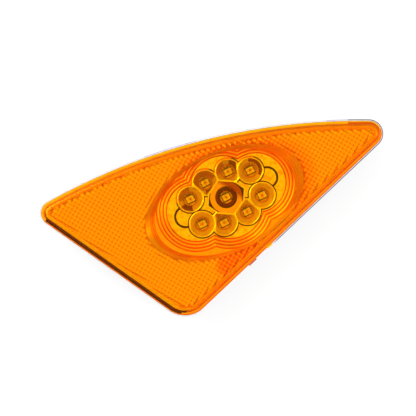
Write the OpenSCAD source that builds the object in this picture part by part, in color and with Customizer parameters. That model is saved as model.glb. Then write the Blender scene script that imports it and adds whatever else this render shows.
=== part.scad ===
// Side repeater lamp: amber lens with a reflex field and an oval window,
// over a bright nine-cup reflector, a light emitting diode board and a rear housing.
// X runs along the lamp, Y across it and Z out of the lens. The origin is under
// the middle of the outline, in the plane of the flat back.

/* [Outline] */
// Radius of the long crowned edge
crown_r = 277; // [240:1:340]
// Highest point of the crown to the blunt corner, along X
crown_to_blunt = 75.7; // [72:0.1:82]
// Highest point of the crown to the pointed corner, along X
crown_to_point = 87.5; // [82:0.1:94]
// Slope of the short straight edge, in degrees
short_slope = 50.3; // [48:0.1:54]
// Slope of the long straight edge, in degrees
long_slope = 28.4; // [26:0.1:31]
// Corner radius at the blunt corner
blunt_r = 5; // [4.5:0.1:7]
// Corner radius at the pointed corner
point_r = 5.2; // [4.5:0.1:7]
// Corner radius at the low corner
low_r = 11.2; // [9:0.1:14]

/* [Lens] */
// Height of the lens above the flange that it is welded to
lens_h = 10; // [9:0.1:13]
// Wall of the lens skirt
skirt_wall = 1.8; // [1.6:0.1:2.2]
// Thickness of the lens face
face_wall = 2.6; // [2:0.1:3]
// Width of the foot round the lens skirt
foot_w = 1.1; // [0.8:0.1:1.4]
// Height of that foot
foot_h = 1.6; // [1:0.1:2.5]
// Draft of the skirt, as the inset gained by its top
skirt_draft = 0.5; // [0.2:0.1:0.8]
// Width of the rounded bevel between skirt and face
bevel_w = 1.7; // [1.2:0.1:2.2]
// Height of that bevel
bevel_h = 2.4; // [1.5:0.1:3]
// Depth of the bed that carries the reflex prisms
prism_bed = 0.9; // [0.6:0.1:1.1]
// Plain margin between the skirt and the prism bed
bed_margin = 0.3; // [0.2:0.1:1.5]
// Length of the gate stub left on the foot
gate_len = 2.6; // [2:0.1:4]
// How far the gate stub stands out of the foot
gate_out = 0.7; // [0.4:0.1:0.9]
// Distance of the gate stub from the pointed corner, along the long edge
gate_from_point = 77; // [70:0.5:80]

/* [Window] */
// Half length of the oval window
window_a = 36.4; // [34:0.1:38]
// Half width of the oval window
window_b = 21.7; // [20.5:0.1:22.5]
// Window centre, from the middle of the outline along X
window_x = 2.3; // [0:0.1:5]
// Window centre, from the middle of the outline along Y
window_y = 7.5; // [6.5:0.1:8.5]
// Turn of the window and the cups from the X axis, in degrees
tilt = 10.8; // [8:0.1:14]

/* [Reflector] */
// Wall of the reflector moulding
refl_wall = 1.6; // [1.4:0.1:1.8]
// How far the flange shows outside the lens
rim_lip = 1; // [0.6:0.1:1.5]
// Thickness of the flange
flange_t = 2; // [1.6:0.1:3]
// Clearance between the lens skirt and the riser inside it
lens_clear = 0.2; // [0.1:0.05:0.4]
// Clearance between the prism bed and the plate behind it
bed_clear = 0.5; // [0.3:0.1:0.8]
// Inset of the oval dish at its foot, along its length
dish_in_a = 4.2; // [3:0.1:5]
// Inset of the oval dish at its foot, along its width
dish_in_b = 1.2; // [0.8:0.1:2]
// Height of one terrace
terrace_h = 0.75; // [0.5:0.05:0.9]
// Width of one terrace
terrace_w = 1.43; // [1.2:0.01:1.6]
// Number of terraces above the floor
terraces = 4; // [3:1:4]
// Radius of the end lobes of the floor
end_lobe_r = 12.7; // [12:0.1:13.5]
// Radius of the middle lobes of the floor
mid_lobe_r = 14.8; // [14:0.1:15.5]
// Offset of the middle lobes from the cup axis
mid_lobe_y = 3.2; // [2.5:0.1:4]

/* [Cups] */
// Cup group centre, from the middle of the window along X
cups_dx = 1.2; // [0:0.1:2]
// Cup group centre, from the middle of the window along Y
cups_dy = 1.9; // [0:0.1:2.4]
// Outer cups, along the cup axis
outer_u = 14.4; // [14:0.1:15]
// Outer cups, across the cup axis
outer_v = 6; // [5.9:0.1:6.6]
// Inner cups, along the cup axis
inner_u = 5.5; // [5.3:0.1:6]
// Inner cups, across the cup axis
inner_v = 9.6; // [9.2:0.1:10.2]
// Radius of a cup at its rim
cup_r = 5.2; // [5:0.1:5.4]
// Radius of the middle cup at its rim
mid_cup_r = 4.4; // [4:0.1:4.6]
// Width of the ridges that part the inner cups from their neighbours
ridge_w = 0.7; // [0.5:0.1:0.9]
// Half width of the six-sided recess round the middle cup
recess_in = 6.7; // [6.3:0.1:7]
// Radius of the hole at the foot of a cup
cup_hole_r = 2.65; // [2.5:0.05:3]
// Wall of a cup
cup_wall = 0.6; // [0.5:0.05:0.8]
// Depth of a cup, from its rim to the board
cup_depth = 4.9; // [4.5:0.1:6]
// How far the middle cup lies below the others
mid_drop = 1.6; // [1:0.1:2]
// Height of a cup rim above the floor round it
rim_up = 0.9; // [0.5:0.1:1.2]
// Radius of the round pad over each board screw
pad_r = 4.1; // [3.6:0.1:4.4]
// Distance of those pads from the middle cup
pad_u = 19.6; // [19.2:0.1:21]
// Width of the groove round a pad
pad_groove = 0.5; // [0.4:0.1:0.7]

/* [Board] */
// Half length of the circuit board
board_a = 25; // [24.5:0.5:27]
// Half width of the circuit board
board_b = 13.5; // [13:0.1:14]
// Corner radius of the circuit board
board_r = 8; // [6:0.5:10]
// Thickness of the circuit board
board_t = 1.6; // [1.2:0.1:2]
// Length of a light emitting diode
led_l = 3.5; // [3:0.1:3.6]
// Width of a light emitting diode
led_w = 2.8; // [2.6:0.1:3]
// Height of a light emitting diode
led_h = 1.9; // [1.5:0.1:2]
// Radius of the window in a light emitting diode
led_window_r = 1.2; // [1:0.05:1.25]
// Height of the storage capacitor
cap_h = 5.8; // [4:0.1:6]
// Radius of the storage capacitor
cap_r = 3.15; // [2.5:0.05:3.5]

/* [Rear housing] */
// Inset of the housing from the lens outline
tub_inset = 5; // [4.8:0.1:5.4]
// Wall of the housing sides
tub_wall = 2.2; // [1.8:0.1:2.4]
// Thickness of the flat back
tub_floor = 2.4; // [2:0.1:3]
// Depth of the housing, from its back to the flange
tub_h = 18; // [17:0.1:20]
// Thickness of the sealing ring between housing and flange
seal_t = 0.6; // [0.5:0.1:1]
// Thickness of the foam gasket under the flange
gasket_t = 2; // [1.5:0.1:3]
// Width of the foam gasket
gasket_w = 4; // [3:0.1:4.2]
// Inset of the mounting bosses from the two edges beside them
boss_inset = 20; // [19:0.1:21]
// Radius of a mounting boss
boss_r = 5.5; // [5:0.1:6]
// Room between a mounting boss and the board screws over it
boss_gap = 1.9; // [1.2:0.1:2.5]
// Outer radius of a threaded insert
insert_r = 3.5; // [3.2:0.1:4]
// Thread radius of a threaded insert
thread_r = 2.5; // [2:0.05:2.6]
// Length of a threaded insert
insert_len = 8; // [6:0.1:9]
// Inset of the cover screws from the two edges beside them
post_inset = 10.5; // [10:0.1:11]
// Place of the fourth cover screw on the crowned edge, in degrees from the top
post_turn = 7.5; // [7:0.1:8.5]
// Radius of a cover screw column
post_r = 4; // [3.8:0.1:4.4]
// Radius of a cover screw shank
cover_screw_r = 1.5; // [1.3:0.05:1.75]
// Radius of a cover screw head
cover_head_r = 2.9; // [2.7:0.1:3]
// Height of a cover screw head
cover_head_h = 2; // [1.6:0.1:2.4]
// How far a cover screw reaches into the reflector
cover_bite = 5; // [4:0.1:5.4]
// Thickness of the ribs on the floor of the housing
rib_t = 1.6; // [1.2:0.1:2]
// Height of those ribs above the floor
rib_h = 5; // [3:0.1:7]

/* [Connector] */
// Inner length of the connector socket
socket_l = 20; // [19:0.1:21]
// Inner width of the connector socket
socket_w = 11; // [10:0.1:12]
// Room between the connector socket and the board, for the parts under the board
socket_gap = 2.6; // [2.5:0.1:3.5]
// Wall of the connector socket
socket_wall = 1.8; // [1.5:0.1:2]
// Socket centre, across the cup axis from the middle cup
socket_v = 4.6; // [4:0.1:5.5]
// Distance between two terminals
pitch = 5; // [4.5:0.1:5.5]
// Number of terminals
terminals = 3; // [3:1:3]
// Width of a terminal blade
blade_w = 2.8; // [2:0.1:3]
// Thickness of a terminal blade
blade_t = 0.8; // [0.6:0.1:1]
// How far the blade tips stand back from the mouth
blade_back = 3; // [2:0.1:4]

/* [Small parts] */
// Length of a chip resistor
resistor_l = 3.2; // [3:0.1:3.4]
// Width of a chip resistor
resistor_w = 1.6; // [1.4:0.1:2]
// Height of a chip resistor
resistor_h = 0.6; // [0.5:0.05:0.8]
// Space between two chip resistors, end to end
resistor_gap = 0.8; // [0.6:0.1:1]
// Space between the two rows of chip resistors
row_gap = 1.9; // [1.5:0.1:2.2]
// Length of a polarity diode
diode_l = 4.4; // [4:0.1:5]
// Width of a polarity diode
diode_w = 2.6; // [2.4:0.1:2.8]
// Height of a polarity diode
diode_h = 2.2; // [1.8:0.1:2.3]
// Length of the surge suppressor
surge_l = 4.6; // [4.4:0.1:5]
// Width of the surge suppressor
surge_w = 3.8; // [3.4:0.1:4]
// Height of the surge suppressor
surge_h = 2.3; // [2:0.1:2.5]
// Radius of a board screw shank
board_screw_r = 1.1; // [0.9:0.05:1.3]
// Radius of a board screw head
board_head_r = 2.2; // [1.9:0.1:2.4]
// Height of a board screw head
board_head_h = 1.5; // [1.2:0.1:1.8]
// How far a board screw reaches into its post
board_bite = 3; // [2.5:0.1:3.5]
// Radius of the cap of the vent plug
vent_r = 4.2; // [3.5:0.1:4.5]
// Radius of the stem of the vent plug
vent_stem_r = 2.4; // [2:0.1:3]
// Thickness of the cap of the vent plug
vent_cap_t = 1.1; // [0.8:0.1:1.3]
// Vent plug, from the middle of the outline along X
vent_x = 7; // [4:0.1:10]
// Vent plug, from the middle of the outline along Y
vent_y = -6; // [-7:0.1:-4]
// Free play round a part that slides into another
fit = 0.15; // [0.1:0.05:0.25]

/* [Hidden] */
$fn = 48;

// How finely the corners, the crown and the oval are divided
corner_steps = 9;
crown_steps = 30;
oval_steps = 72;
// Shortest radius left at a corner that is inset
sharp_r = 0.8;
// Overlap that joins two forms of one moulding
weld = 0.3;
// Small excess of a cut past the face that it opens
cut = 0.5;
// Chamfer where the skirt meets the ceiling inside the lens
inner_chamfer = 0.5;
// Longer than anything in the cup group
far = 40;

// Heights, from the flat back up
flange_z = tub_h;
foot_z = flange_z + flange_t;
face_z = foot_z + lens_h;
ceiling_z = face_z - face_wall;
plate_z = ceiling_z - prism_bed - bed_clear;
floor_z = foot_z;
rim_z = floor_z + rim_up;
mid_rim_z = rim_z - mid_drop;
terrace_top = floor_z + terraces * terrace_h;
board_top = rim_z - cup_depth;
board_z = board_top - board_t;
tub_top = flange_z - seal_t;
socket_top = board_z - socket_gap;
socket_depth = socket_top - socket_wall;
boss_h = board_z - board_head_h - boss_gap;

// Insets, from the lens outline inwards
skirt_in = foot_w + skirt_draft + skirt_wall;
riser_in = skirt_in + lens_clear;
flange_in = tub_inset + tub_wall + weld;

// Outline in a frame whose origin is the highest point of the crown
crown_o = [0, -crown_r];
function drop(x) = crown_r - sqrt(crown_r * crown_r - x * x);
blunt_tip = [-crown_to_blunt, -drop(crown_to_blunt)];
point_tip = [crown_to_point, -drop(crown_to_point)];
short_n = [sin(short_slope), cos(short_slope)];
short_t = [-cos(short_slope), sin(short_slope)];
long_n = [-sin(long_slope), cos(long_slope)];
long_t = [cos(long_slope), sin(long_slope)];
short_c = short_n * blunt_tip;
long_c = long_n * point_tip;

// Centre of a circle of radius r that touches the crown and one straight edge
function crown_corner(n, t, c, r) =
    let (h = c + r - n * crown_o, s = crown_r - r)
    crown_o + h * n + sqrt(s * s - h * h) * t;

// Centre of a circle of radius r that touches both straight edges
function low_corner(r) =
    let (a = short_c + r, b = long_c + r, det = short_n[0] * long_n[1] - short_n[1] * long_n[0])
    [(a * long_n[1] - b * short_n[1]) / det, (short_n[0] * b - long_n[0] * a) / det];

function blunt_corner(r) = crown_corner(short_n, short_t, short_c, r);
function point_corner(r) = crown_corner(long_n, long_t, long_c, r);

// Middle of the outline's box, which becomes the origin
middle = [
    (blunt_corner(blunt_r)[0] - blunt_r + point_corner(point_r)[0] + point_r) / 2,
    (low_corner(low_r)[1] - low_r) / 2,
];

function turn(v) = atan2(v[1], v[0]);
function polar(c, r, a) = c + r * [cos(a), sin(a)];
function arc(c, r, a, b, steps) = [for (i = [0:steps]) polar(c, r, a + (b - a) * i / steps)];

// The outline inset by d, anticlockwise from the long edge. Each corner keeps
// its centre until its radius is used up, then moves in along its bisector
function outline(d) =
    let (
        rp = max(point_r - d, sharp_r),
        rb = max(blunt_r - d, sharp_r),
        rl = max(low_r - d, sharp_r),
        cp = point_corner(d + rp),
        cb = blunt_corner(d + rb),
        cl = low_corner(d + rl),
        ap = turn(cp - crown_o),
        ab = turn(cb - crown_o)
    )
    [for (p = concat(
        arc(cp, rp, long_slope - 90, ap, corner_steps),
        [for (i = [1:crown_steps - 1]) polar(crown_o, crown_r - d, ap + (ab - ap) * i / crown_steps)],
        arc(cb, rb, ab, 270 - short_slope, corner_steps),
        arc(cl, rl, 270 - short_slope, 270 + long_slope, corner_steps)
    )) p - middle];

// A closed loft through rings of equal length, listed as [points, height]
module loft(rings) {
    n = len(rings[0][0]);
    last = len(rings) - 1;
    polyhedron(
        points = [for (ring = rings) for (p = ring[0]) [p[0], p[1], ring[1]]],
        faces = concat(
            [[for (i = [0:n - 1]) i]],
            [for (k = [0:last - 1]) for (i = [0:n - 1]) [k * n + i, (k + 1) * n + i, (k + 1) * n + (i + 1) % n]],
            [for (k = [0:last - 1]) for (i = [0:n - 1]) [k * n + i, (k + 1) * n + (i + 1) % n, k * n + (i + 1) % n]],
            [[for (i = [n - 1:-1:0]) last * n + i]]
        )
    );
}

// A wall between two insets of the outline
module wall_band(outer, inner, z, h) {
    translate([0, 0, z]) linear_extrude(h) difference() {
        polygon(outline(outer));
        polygon(outline(inner));
    }
}

function oval(a, b) = [for (i = [0:oval_steps - 1]) [a * cos(360 * i / oval_steps), b * sin(360 * i / oval_steps)]];

module at_window() {
    translate([window_x, window_y]) rotate(tilt) children();
}

cups_at = [window_x + cups_dx, window_y + cups_dy];
module at_cups() {
    translate(cups_at) rotate(tilt) children();
}

// Cup places in the cup group's own axes, the middle one last
cups = [
    [-outer_u, outer_v], [-inner_u, inner_v], [inner_u, inner_v], [outer_u, outer_v],
    [outer_u, -outer_v], [inner_u, -inner_v], [-inner_u, -inner_v], [-outer_u, -outer_v],
    [0, 0],
];
pads = [[-pad_u, 0], [pad_u, 0]];
socket_at = cups_at + socket_v * [-sin(tilt), cos(tilt)];

// Places that keep their distance from the two edges beside them
insert_at = [for (p = [blunt_corner(boss_inset), point_corner(boss_inset), low_corner(boss_inset)]) p - middle];
posts = [for (p = [
    blunt_corner(post_inset), point_corner(post_inset), low_corner(post_inset),
    polar(crown_o, crown_r - post_inset, 90 + post_turn),
]) p - middle];

// Height of the rounded bevel at a share s of its width
function bevel_rise(s) = bevel_h * sqrt(1 - (1 - s) * (1 - s));

// Amber shell: inner ceiling, skirt, foot, bevel and face in one loft, with the
// raised bed for the reflex prisms left open over the oval window
module lens() {
    shoulder = foot_w + skirt_draft;
    ceiling_in = skirt_in + inner_chamfer;
    color([1, 0.55, 0]) union() {
        loft(concat(
            [
                [outline(ceiling_in), ceiling_z],
                [outline(skirt_in), ceiling_z - inner_chamfer],
                [outline(skirt_in), foot_z],
                [outline(0), foot_z],
                [outline(0), foot_z + foot_h],
                [outline(foot_w), foot_z + foot_h],
            ],
            [for (s = [0, 0.15, 0.4, 0.7, 1])
                [outline(shoulder + bevel_w * s), face_z - bevel_h + bevel_rise(s)]]
        ));
        translate([0, 0, ceiling_z - prism_bed]) linear_extrude(prism_bed + weld) difference() {
            polygon(outline(ceiling_in + bed_margin));
            at_window() polygon(oval(window_a, window_b));
        }
        gate_stub();
    }
}

// Stub of the moulding gate on the long straight edge
module gate_stub() {
    place = point_tip - gate_from_point * long_t - middle;
    translate([place[0], place[1], foot_z]) rotate(long_slope)
        translate([-gate_len / 2, -gate_out, 0]) cube([gate_len, gate_out + weld, foot_h - weld]);
}

// Floor of the reflector round the cups, grown outwards by g
module lobes(g) {
    for (s = [-1, 1]) {
        translate([s * outer_u, 0]) circle(end_lobe_r + g, $fn = 96);
        translate([0, s * mid_lobe_y]) circle(mid_lobe_r + g, $fn = 96);
    }
}

// Oval at the foot of the dish, grown outwards by g
module dish_foot(g) {
    at_window() polygon(oval(window_a - dish_in_a + g, window_b - dish_in_b + g));
}

// Plate behind the reflex field, open over the dish
module field_plate() {
    translate([0, 0, plate_z - refl_wall]) linear_extrude(refl_wall) difference() {
        polygon(outline(riser_in + weld));
        at_window() polygon(oval(window_a, window_b));
    }
}

// Wall of the oval dish: plumb beside the terraces, then sloping out to the plate
module dish_wall() {
    foot_a = window_a - dish_in_a;
    foot_b = window_b - dish_in_b;
    bottom = floor_z - refl_wall;
    difference() {
        at_window() loft([
            [oval(foot_a + refl_wall, foot_b + refl_wall), bottom],
            [oval(foot_a + refl_wall, foot_b + refl_wall), terrace_top - refl_wall],
            [oval(window_a + refl_wall, window_b + refl_wall), plate_z - weld],
        ]);
        at_window() loft([
            [oval(foot_a, foot_b), bottom - cut],
            [oval(foot_a, foot_b), terrace_top - weld],
            [oval(window_a, window_b), plate_z],
        ]);
    }
}

// Floor with a groove round each pad, and the terraces that climb from it
module terraced_floor() {
    difference() {
        translate([0, 0, floor_z - refl_wall]) linear_extrude(refl_wall) intersection() {
            at_cups() lobes(weld);
            dish_foot(weld);
        }
        for (p = pads) at_cups() translate([p[0], p[1], floor_z - pad_groove]) difference() {
            cylinder(r = pad_r + pad_groove, h = refl_wall);
            translate([0, 0, -cut]) cylinder(r = pad_r, h = refl_wall + 2 * cut);
        }
    }
    for (k = [1:terraces])
        translate([0, 0, floor_z + k * terrace_h - refl_wall]) linear_extrude(refl_wall) difference() {
            intersection() {
                at_cups() lobes(k < terraces ? k * terrace_w + weld : far);
                dish_foot(weld);
            }
            at_cups() lobes((k - 1) * terrace_w);
        }
}

// Bowl profile: radius at height z of a cup that opens from its hole to radius r
function bowl_r(r, depth, z) = sqrt(cup_hole_r * cup_hole_r + (r * r - cup_hole_r * cup_hole_r) * z / depth);

// Bowl of a cup, grown by g, from the board up to its rim and beyond by over
module bowl(r, depth, g, over) {
    steps = 6;
    rotate_extrude($fn = 72) polygon(concat(
        [[0, 0]],
        [for (i = [0:steps]) [bowl_r(r, depth, depth * i / steps) + g, depth * i / steps]],
        [[r + g, depth + over], [0, depth + over]]
    ));
}

// Half plane that ends at distance d from a cup, in direction a
module half_plane(a, d) {
    rotate(a) translate([d - far, -far]) square([far, 2 * far]);
}

// What each inner cup keeps: a straight ridge parts it from the full end cup
// beside it and from the recess round the middle cup
module inner_cell(u, v) {
    to_end = [sign(u) * outer_u, sign(v) * outer_v] - [u, v];
    intersection() {
        half_plane(turn(to_end), norm(to_end) - cup_r - ridge_w);
        half_plane(turn([-u, -v]), norm([u, v]) - recess_in - ridge_w);
        half_plane(turn([-u, 0]), inner_u - ridge_w / 2);
    }
}

// The nine bowls and the six-sided recess, cut out of the floor and cup walls
module cup_cuts() {
    for (c = cups) translate([c[0], c[1], board_top]) {
        if (c == [0, 0])
            bowl(mid_cup_r, mid_rim_z - board_top, 0, far);
        else if (abs(c[0]) == inner_u)
            intersection() {
                bowl(cup_r, cup_depth, 0, cut);
                translate([0, 0, -cut]) linear_extrude(cup_depth + 2 * cut + 1) inner_cell(c[0], c[1]);
            }
        else
            bowl(cup_r, cup_depth, 0, cut);
    }
    translate([0, 0, mid_rim_z]) rotate(30) cylinder(r = recess_in / cos(30), h = far, $fn = 6);
}

// Walls of the nine cups, before the bowls are cut
module cup_walls() {
    for (c = cups) translate([c[0], c[1], board_top]) difference() {
        bowl(c == [0, 0] ? recess_in / cos(30) : cup_r, cup_depth, cup_wall, 0);
        translate([0, 0, -cut]) cylinder(r = far, h = fit + cut);
    }
}

// Bright moulding: flange, riser, plate behind the reflex field, oval dish,
// terraces, floor, nine cups and the posts for both sets of screws
module reflector() {
    color([0.86, 0.84, 0.8]) difference() {
        union() {
            wall_band(-rim_lip, flange_in, flange_z, flange_t);
            wall_band(riser_in, riser_in + refl_wall, flange_z + weld, plate_z - flange_z - weld);
            field_plate();
            intersection() {
                union() {
                    dish_wall();
                    terraced_floor();
                }
                translate([0, 0, flange_z]) linear_extrude(lens_h) polygon(outline(riser_in + weld));
            }
            at_cups() cup_walls();
            for (p = posts) translate([p[0], p[1], flange_z])
                cylinder(r = post_r - 1, h = plate_z - flange_z - weld);
            at_cups() for (p = pads) translate([p[0], p[1], board_top])
                cylinder(r = board_head_r + cup_wall, h = floor_z - board_top - refl_wall + weld);
        }
        at_cups() cup_cuts();
        for (p = posts) translate([p[0], p[1], flange_z - cut])
            cylinder(r = cover_screw_r + fit, h = cover_bite + cut);
        at_cups() for (p = pads) translate([p[0], p[1], board_top - cut])
            cylinder(r = board_screw_r + fit, h = board_bite + cut);
    }
}

// Points of a rounded rectangle of half sizes a and b
function rounded(a, b, r) = concat(
    arc([a - r, b - r], r, 0, 90, corner_steps),
    arc([r - a, b - r], r, 90, 180, corner_steps),
    arc([r - a, r - b], r, 180, 270, corner_steps),
    arc([a - r, r - b], r, 270, 360, corner_steps)
);

// Places of the terminals, in a row along X under the cups
terminal_at = [for (i = [0:terminals - 1]) socket_at + [(i - (terminals - 1) / 2) * pitch, 0]];

module circuit_board() {
    color([0.1, 0.3, 0.15]) translate([0, 0, board_z]) linear_extrude(board_t) difference() {
        at_cups() polygon(rounded(board_a, board_b, board_r));
        at_cups() for (p = pads) translate(p) circle(board_screw_r + fit);
        for (p = terminal_at) translate(p)
            square([blade_w + 2 * fit, blade_t + 2 * fit], center = true);
    }
}

// Moulded package with a round window, a chip in it, bent leads and a cut corner
module led(i) {
    lead = 0.2;
    window_depth = 0.45;
    chip = 0.7;
    color([1, 0.9, 0.7]) at_cups() translate([cups[i][0], cups[i][1], board_top]) difference() {
        union() {
            difference() {
                translate([lead - led_l / 2, -led_w / 2, 0]) cube([led_l - 2 * lead, led_w, led_h]);
                translate([0, 0, led_h - window_depth]) cylinder(r = led_window_r, h = led_h);
            }
            for (s = [-1, 1]) translate([-led_l / 2, s * led_w / 4 - led_w / 8, 0])
                cube([led_l, led_w / 4, led_h / 2]);
            translate([-chip / 2, -chip / 2, led_h / 2]) cube([chip, chip, led_h / 2 - window_depth / 2]);
        }
        translate([led_l / 2 - lead, led_w / 2, led_h / 2]) rotate(45)
            cube([chip, chip, 2 * led_h], center = true);
    }
}

// Tin-plated blade: tip, shoulder under the board and tail in it
module terminal(i) {
    shoulder_w = 1.6 * blade_w;
    taper = 1;
    color([0.8, 0.8, 0.82]) translate([terminal_at[i][0], terminal_at[i][1], 0]) union() {
        translate([0, blade_t / 2, 0]) rotate([90, 0, 0]) linear_extrude(blade_t) polygon([
            [taper - blade_w / 2, blade_back], [blade_w / 2 - taper, blade_back],
            [blade_w / 2, blade_back + taper], [blade_w / 2, board_top],
            [-blade_w / 2, board_top], [-blade_w / 2, blade_back + taper],
        ]);
        translate([-shoulder_w / 2, -blade_t / 2, socket_top])
            cube([shoulder_w, blade_t, board_z - socket_top]);
    }
}

// Chip part under the board: body l by w by h with a plated cap at each end
module chip_part(l, w, h) {
    cap = l / 6;
    bump = 0.05;
    translate([-l / 2 + cap / 2, -w / 2, -h]) cube([l - cap, w, h]);
    for (s = [-1, 1]) translate([s * (l - cap) / 2 - cap / 2, -w / 2 - bump, -h - bump])
        cube([cap, w + 2 * bump, h + bump]);
}

module under_board(u, v) {
    at_cups() translate([u, v, board_z]) children();
}

module resistors() {
    across = resistor_l + resistor_gap;
    color([0.15, 0.15, 0.17]) for (i = [0:2]) for (j = [0:1])
        under_board(inner_u + resistor_l + across * i, -outer_v + resistor_w - (resistor_w + row_gap) * j)
            chip_part(resistor_l, resistor_w, resistor_h);
}

module diodes() {
    color([0.12, 0.12, 0.13]) for (j = [0:1])
        under_board(-inner_u - 0.8 * diode_l, -(diode_w + row_gap) * (j + 0.8)) chip_part(diode_l, diode_w, diode_h);
}

// Eight-legged regulator that sets the current through the diodes
module current_driver() {
    body_l = 4.9;
    body_w = 3.9;
    body_h = 1.5;
    leg_pitch = 1.27;
    leg_w = 0.42;
    leg_out = 1;
    leg_h = 0.7;
    color([0.1, 0.1, 0.11]) under_board(0, -8) {
        translate([-body_l / 2, -body_w / 2, -body_h]) cube([body_l, body_w, body_h - 0.1]);
        for (i = [0:3]) for (s = [-1, 1])
            translate([(i - 1.5) * leg_pitch - leg_w / 2, s * (body_w + leg_out) / 2 - (leg_out + weld) / 2, -leg_h])
                cube([leg_w, leg_out + weld, leg_h]);
    }
}

// Electrolytic can on its square base, hanging under the board
module capacitor() {
    base_h = 0.8;
    base_w = 2 * cap_r + 0.3;
    groove = 0.25;
    color([0.75, 0.76, 0.78]) under_board(-17.5, -7) mirror([0, 0, 1]) {
        translate([-base_w / 2, -base_w / 2, 0]) cube([base_w, base_w, base_h]);
        difference() {
            cylinder(r = cap_r, h = cap_h);
            translate([0, 0, base_h + 0.5]) difference() {
                cylinder(r = cap_r + 1, h = 0.5);
                translate([0, 0, -cut]) cylinder(r = cap_r - groove, h = 2);
            }
            for (a = [0, 90]) rotate(a) translate([-cap_r, -groove / 2, cap_h - groove])
                cube([2 * cap_r, groove, 2 * groove]);
        }
    }
}

module surge_suppressor() {
    color([0.12, 0.12, 0.13]) under_board(outer_u + surge_l, outer_v) chip_part(surge_l, surge_w, surge_h);
}

// Rib on the floor of the housing, from a to b
module rib(a, b) {
    way = b - a;
    translate([a[0], a[1], tub_floor - weld]) rotate(turn(way))
        translate([0, -rib_t / 2, 0]) cube([norm(way), rib_t, rib_h + weld]);
}

// Black tub with the mounting bosses, the cover screw columns and the socket
module rear_housing() {
    recess = cover_head_h + cut;
    color([0.08, 0.08, 0.09]) difference() {
        union() {
            linear_extrude(tub_floor) polygon(outline(tub_inset));
            wall_band(tub_inset, tub_inset + tub_wall, tub_floor - weld, tub_top - tub_floor + weld);
            for (p = insert_at) translate(p) cylinder(r = boss_r, h = boss_h);
            for (p = posts) translate(p) cylinder(r = post_r, h = flange_z);
            for (i = [0:2]) rib(insert_at[i], posts[i]);
            rib(insert_at[0], insert_at[2]);
            rib(insert_at[0], posts[3]);
            translate([socket_at[0], socket_at[1], socket_top / 2]) cube([
                socket_l + 2 * socket_wall, socket_w + 2 * socket_wall, socket_top,
            ], center = true);
        }
        for (p = insert_at) translate([p[0], p[1], -cut]) {
            cylinder(r = insert_r, h = insert_len + cut);
            cylinder(r = thread_r + 2 * fit, h = insert_len + 2 * cut + 1);
        }
        for (p = posts) translate([p[0], p[1], -cut]) {
            cylinder(r = cover_head_r + 2 * fit, h = recess + cut);
            cylinder(r = cover_screw_r + fit, h = flange_z + 2 * cut);
        }
        socket_cut();
        translate([vent_x, vent_y, -cut]) {
            cylinder(r = vent_r + fit, h = vent_cap_t + 2 * fit + cut);
            cylinder(r = vent_stem_r + fit, h = tub_floor + 2 * cut);
        }
    }
}

// Inside of the socket with its two key ways, and the slots for the blades
module socket_cut() {
    key_w = 2;
    key_in = 0.9;
    translate([socket_at[0], socket_at[1], 0]) {
        translate([-socket_l / 2, -socket_w / 2, -cut]) cube([socket_l, socket_w, socket_depth + cut]);
        for (x = [-socket_l / 4, socket_l / 3])
            translate([x - key_w / 2, socket_w / 2 - weld, -cut]) cube([key_w, key_in + weld, socket_depth + cut]);
    }
    for (p = terminal_at) translate([p[0], p[1], socket_depth])
        cube([blade_w + fit, blade_t + fit, 4 * socket_wall], center = true);
}

module housing_seal() {
    color([0.2, 0.2, 0.2]) difference() {
        wall_band(tub_inset, tub_inset + tub_wall, tub_top, seal_t);
        for (p = posts) translate([p[0], p[1], tub_top - cut]) cylinder(r = post_r + fit, h = seal_t + 2 * cut);
    }
}

module mounting_gasket() {
    gap = tub_inset - gasket_w - cut;
    color([0.16, 0.16, 0.16]) wall_band(gap, gap + gasket_w, flange_z - gasket_t, gasket_t);
}

// Cross-recessed screw, head down at z = 0, shank up by reach
module screw(shank_r, head_r, head_h, reach) {
    slot_w = head_r / 3;
    difference() {
        union() {
            cylinder(r1 = head_r - head_h / 4, r2 = head_r, h = head_h / 2);
            translate([0, 0, head_h / 2]) cylinder(r = head_r, h = head_h / 2);
            translate([0, 0, head_h]) cylinder(r = shank_r, h = reach - shank_r);
            translate([0, 0, head_h + reach - shank_r]) cylinder(r1 = shank_r, r2 = shank_r / 3, h = shank_r);
        }
        for (a = [0, 90]) rotate(a) translate([-head_r * 0.6, -slot_w / 2, -cut])
            cube([head_r * 1.2, slot_w, cut + head_h / 2]);
    }
}

module board_screws() {
    color([0.75, 0.75, 0.78]) at_cups() for (p = pads)
        translate([p[0], p[1], board_z - board_head_h])
            screw(board_screw_r, board_head_r, board_head_h, board_t + board_bite - cut);
}

module cover_screws() {
    color([0.75, 0.75, 0.78]) for (p = posts) translate([p[0], p[1], cut])
        screw(cover_screw_r, cover_head_r, cover_head_h, flange_z - cover_head_h - cut + cover_bite - cut);
}

// Brass threaded insert with two knurled bands parted by a groove
module insert(i) {
    groove = 0.4;
    band = insert_len * 0.35;
    color([0.8, 0.62, 0.25]) translate(insert_at[i]) rotate_extrude() polygon([
        [thread_r, 0], [insert_r, 0], [insert_r, band], [insert_r - groove, band + groove],
        [insert_r - groove, insert_len - band - groove], [insert_r, insert_len - band],
        [insert_r, insert_len], [thread_r, insert_len],
    ]);
}

// Breather: cap flush in the back, stem through the floor with a snap collar
module vent_plug() {
    collar = 0.5;
    hole_r = 0.9;
    color([0.25, 0.25, 0.27]) translate([vent_x, vent_y, 0]) rotate_extrude() polygon([
        [hole_r, 2 * fit], [vent_r, 2 * fit], [vent_r, vent_cap_t + 2 * fit],
        [vent_stem_r, vent_cap_t + 2 * fit], [vent_stem_r, tub_floor],
        [vent_stem_r + collar, tub_floor], [vent_stem_r, tub_floor + 3 * collar],
        [hole_r, tub_floor + 3 * collar],
    ]);
}

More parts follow.
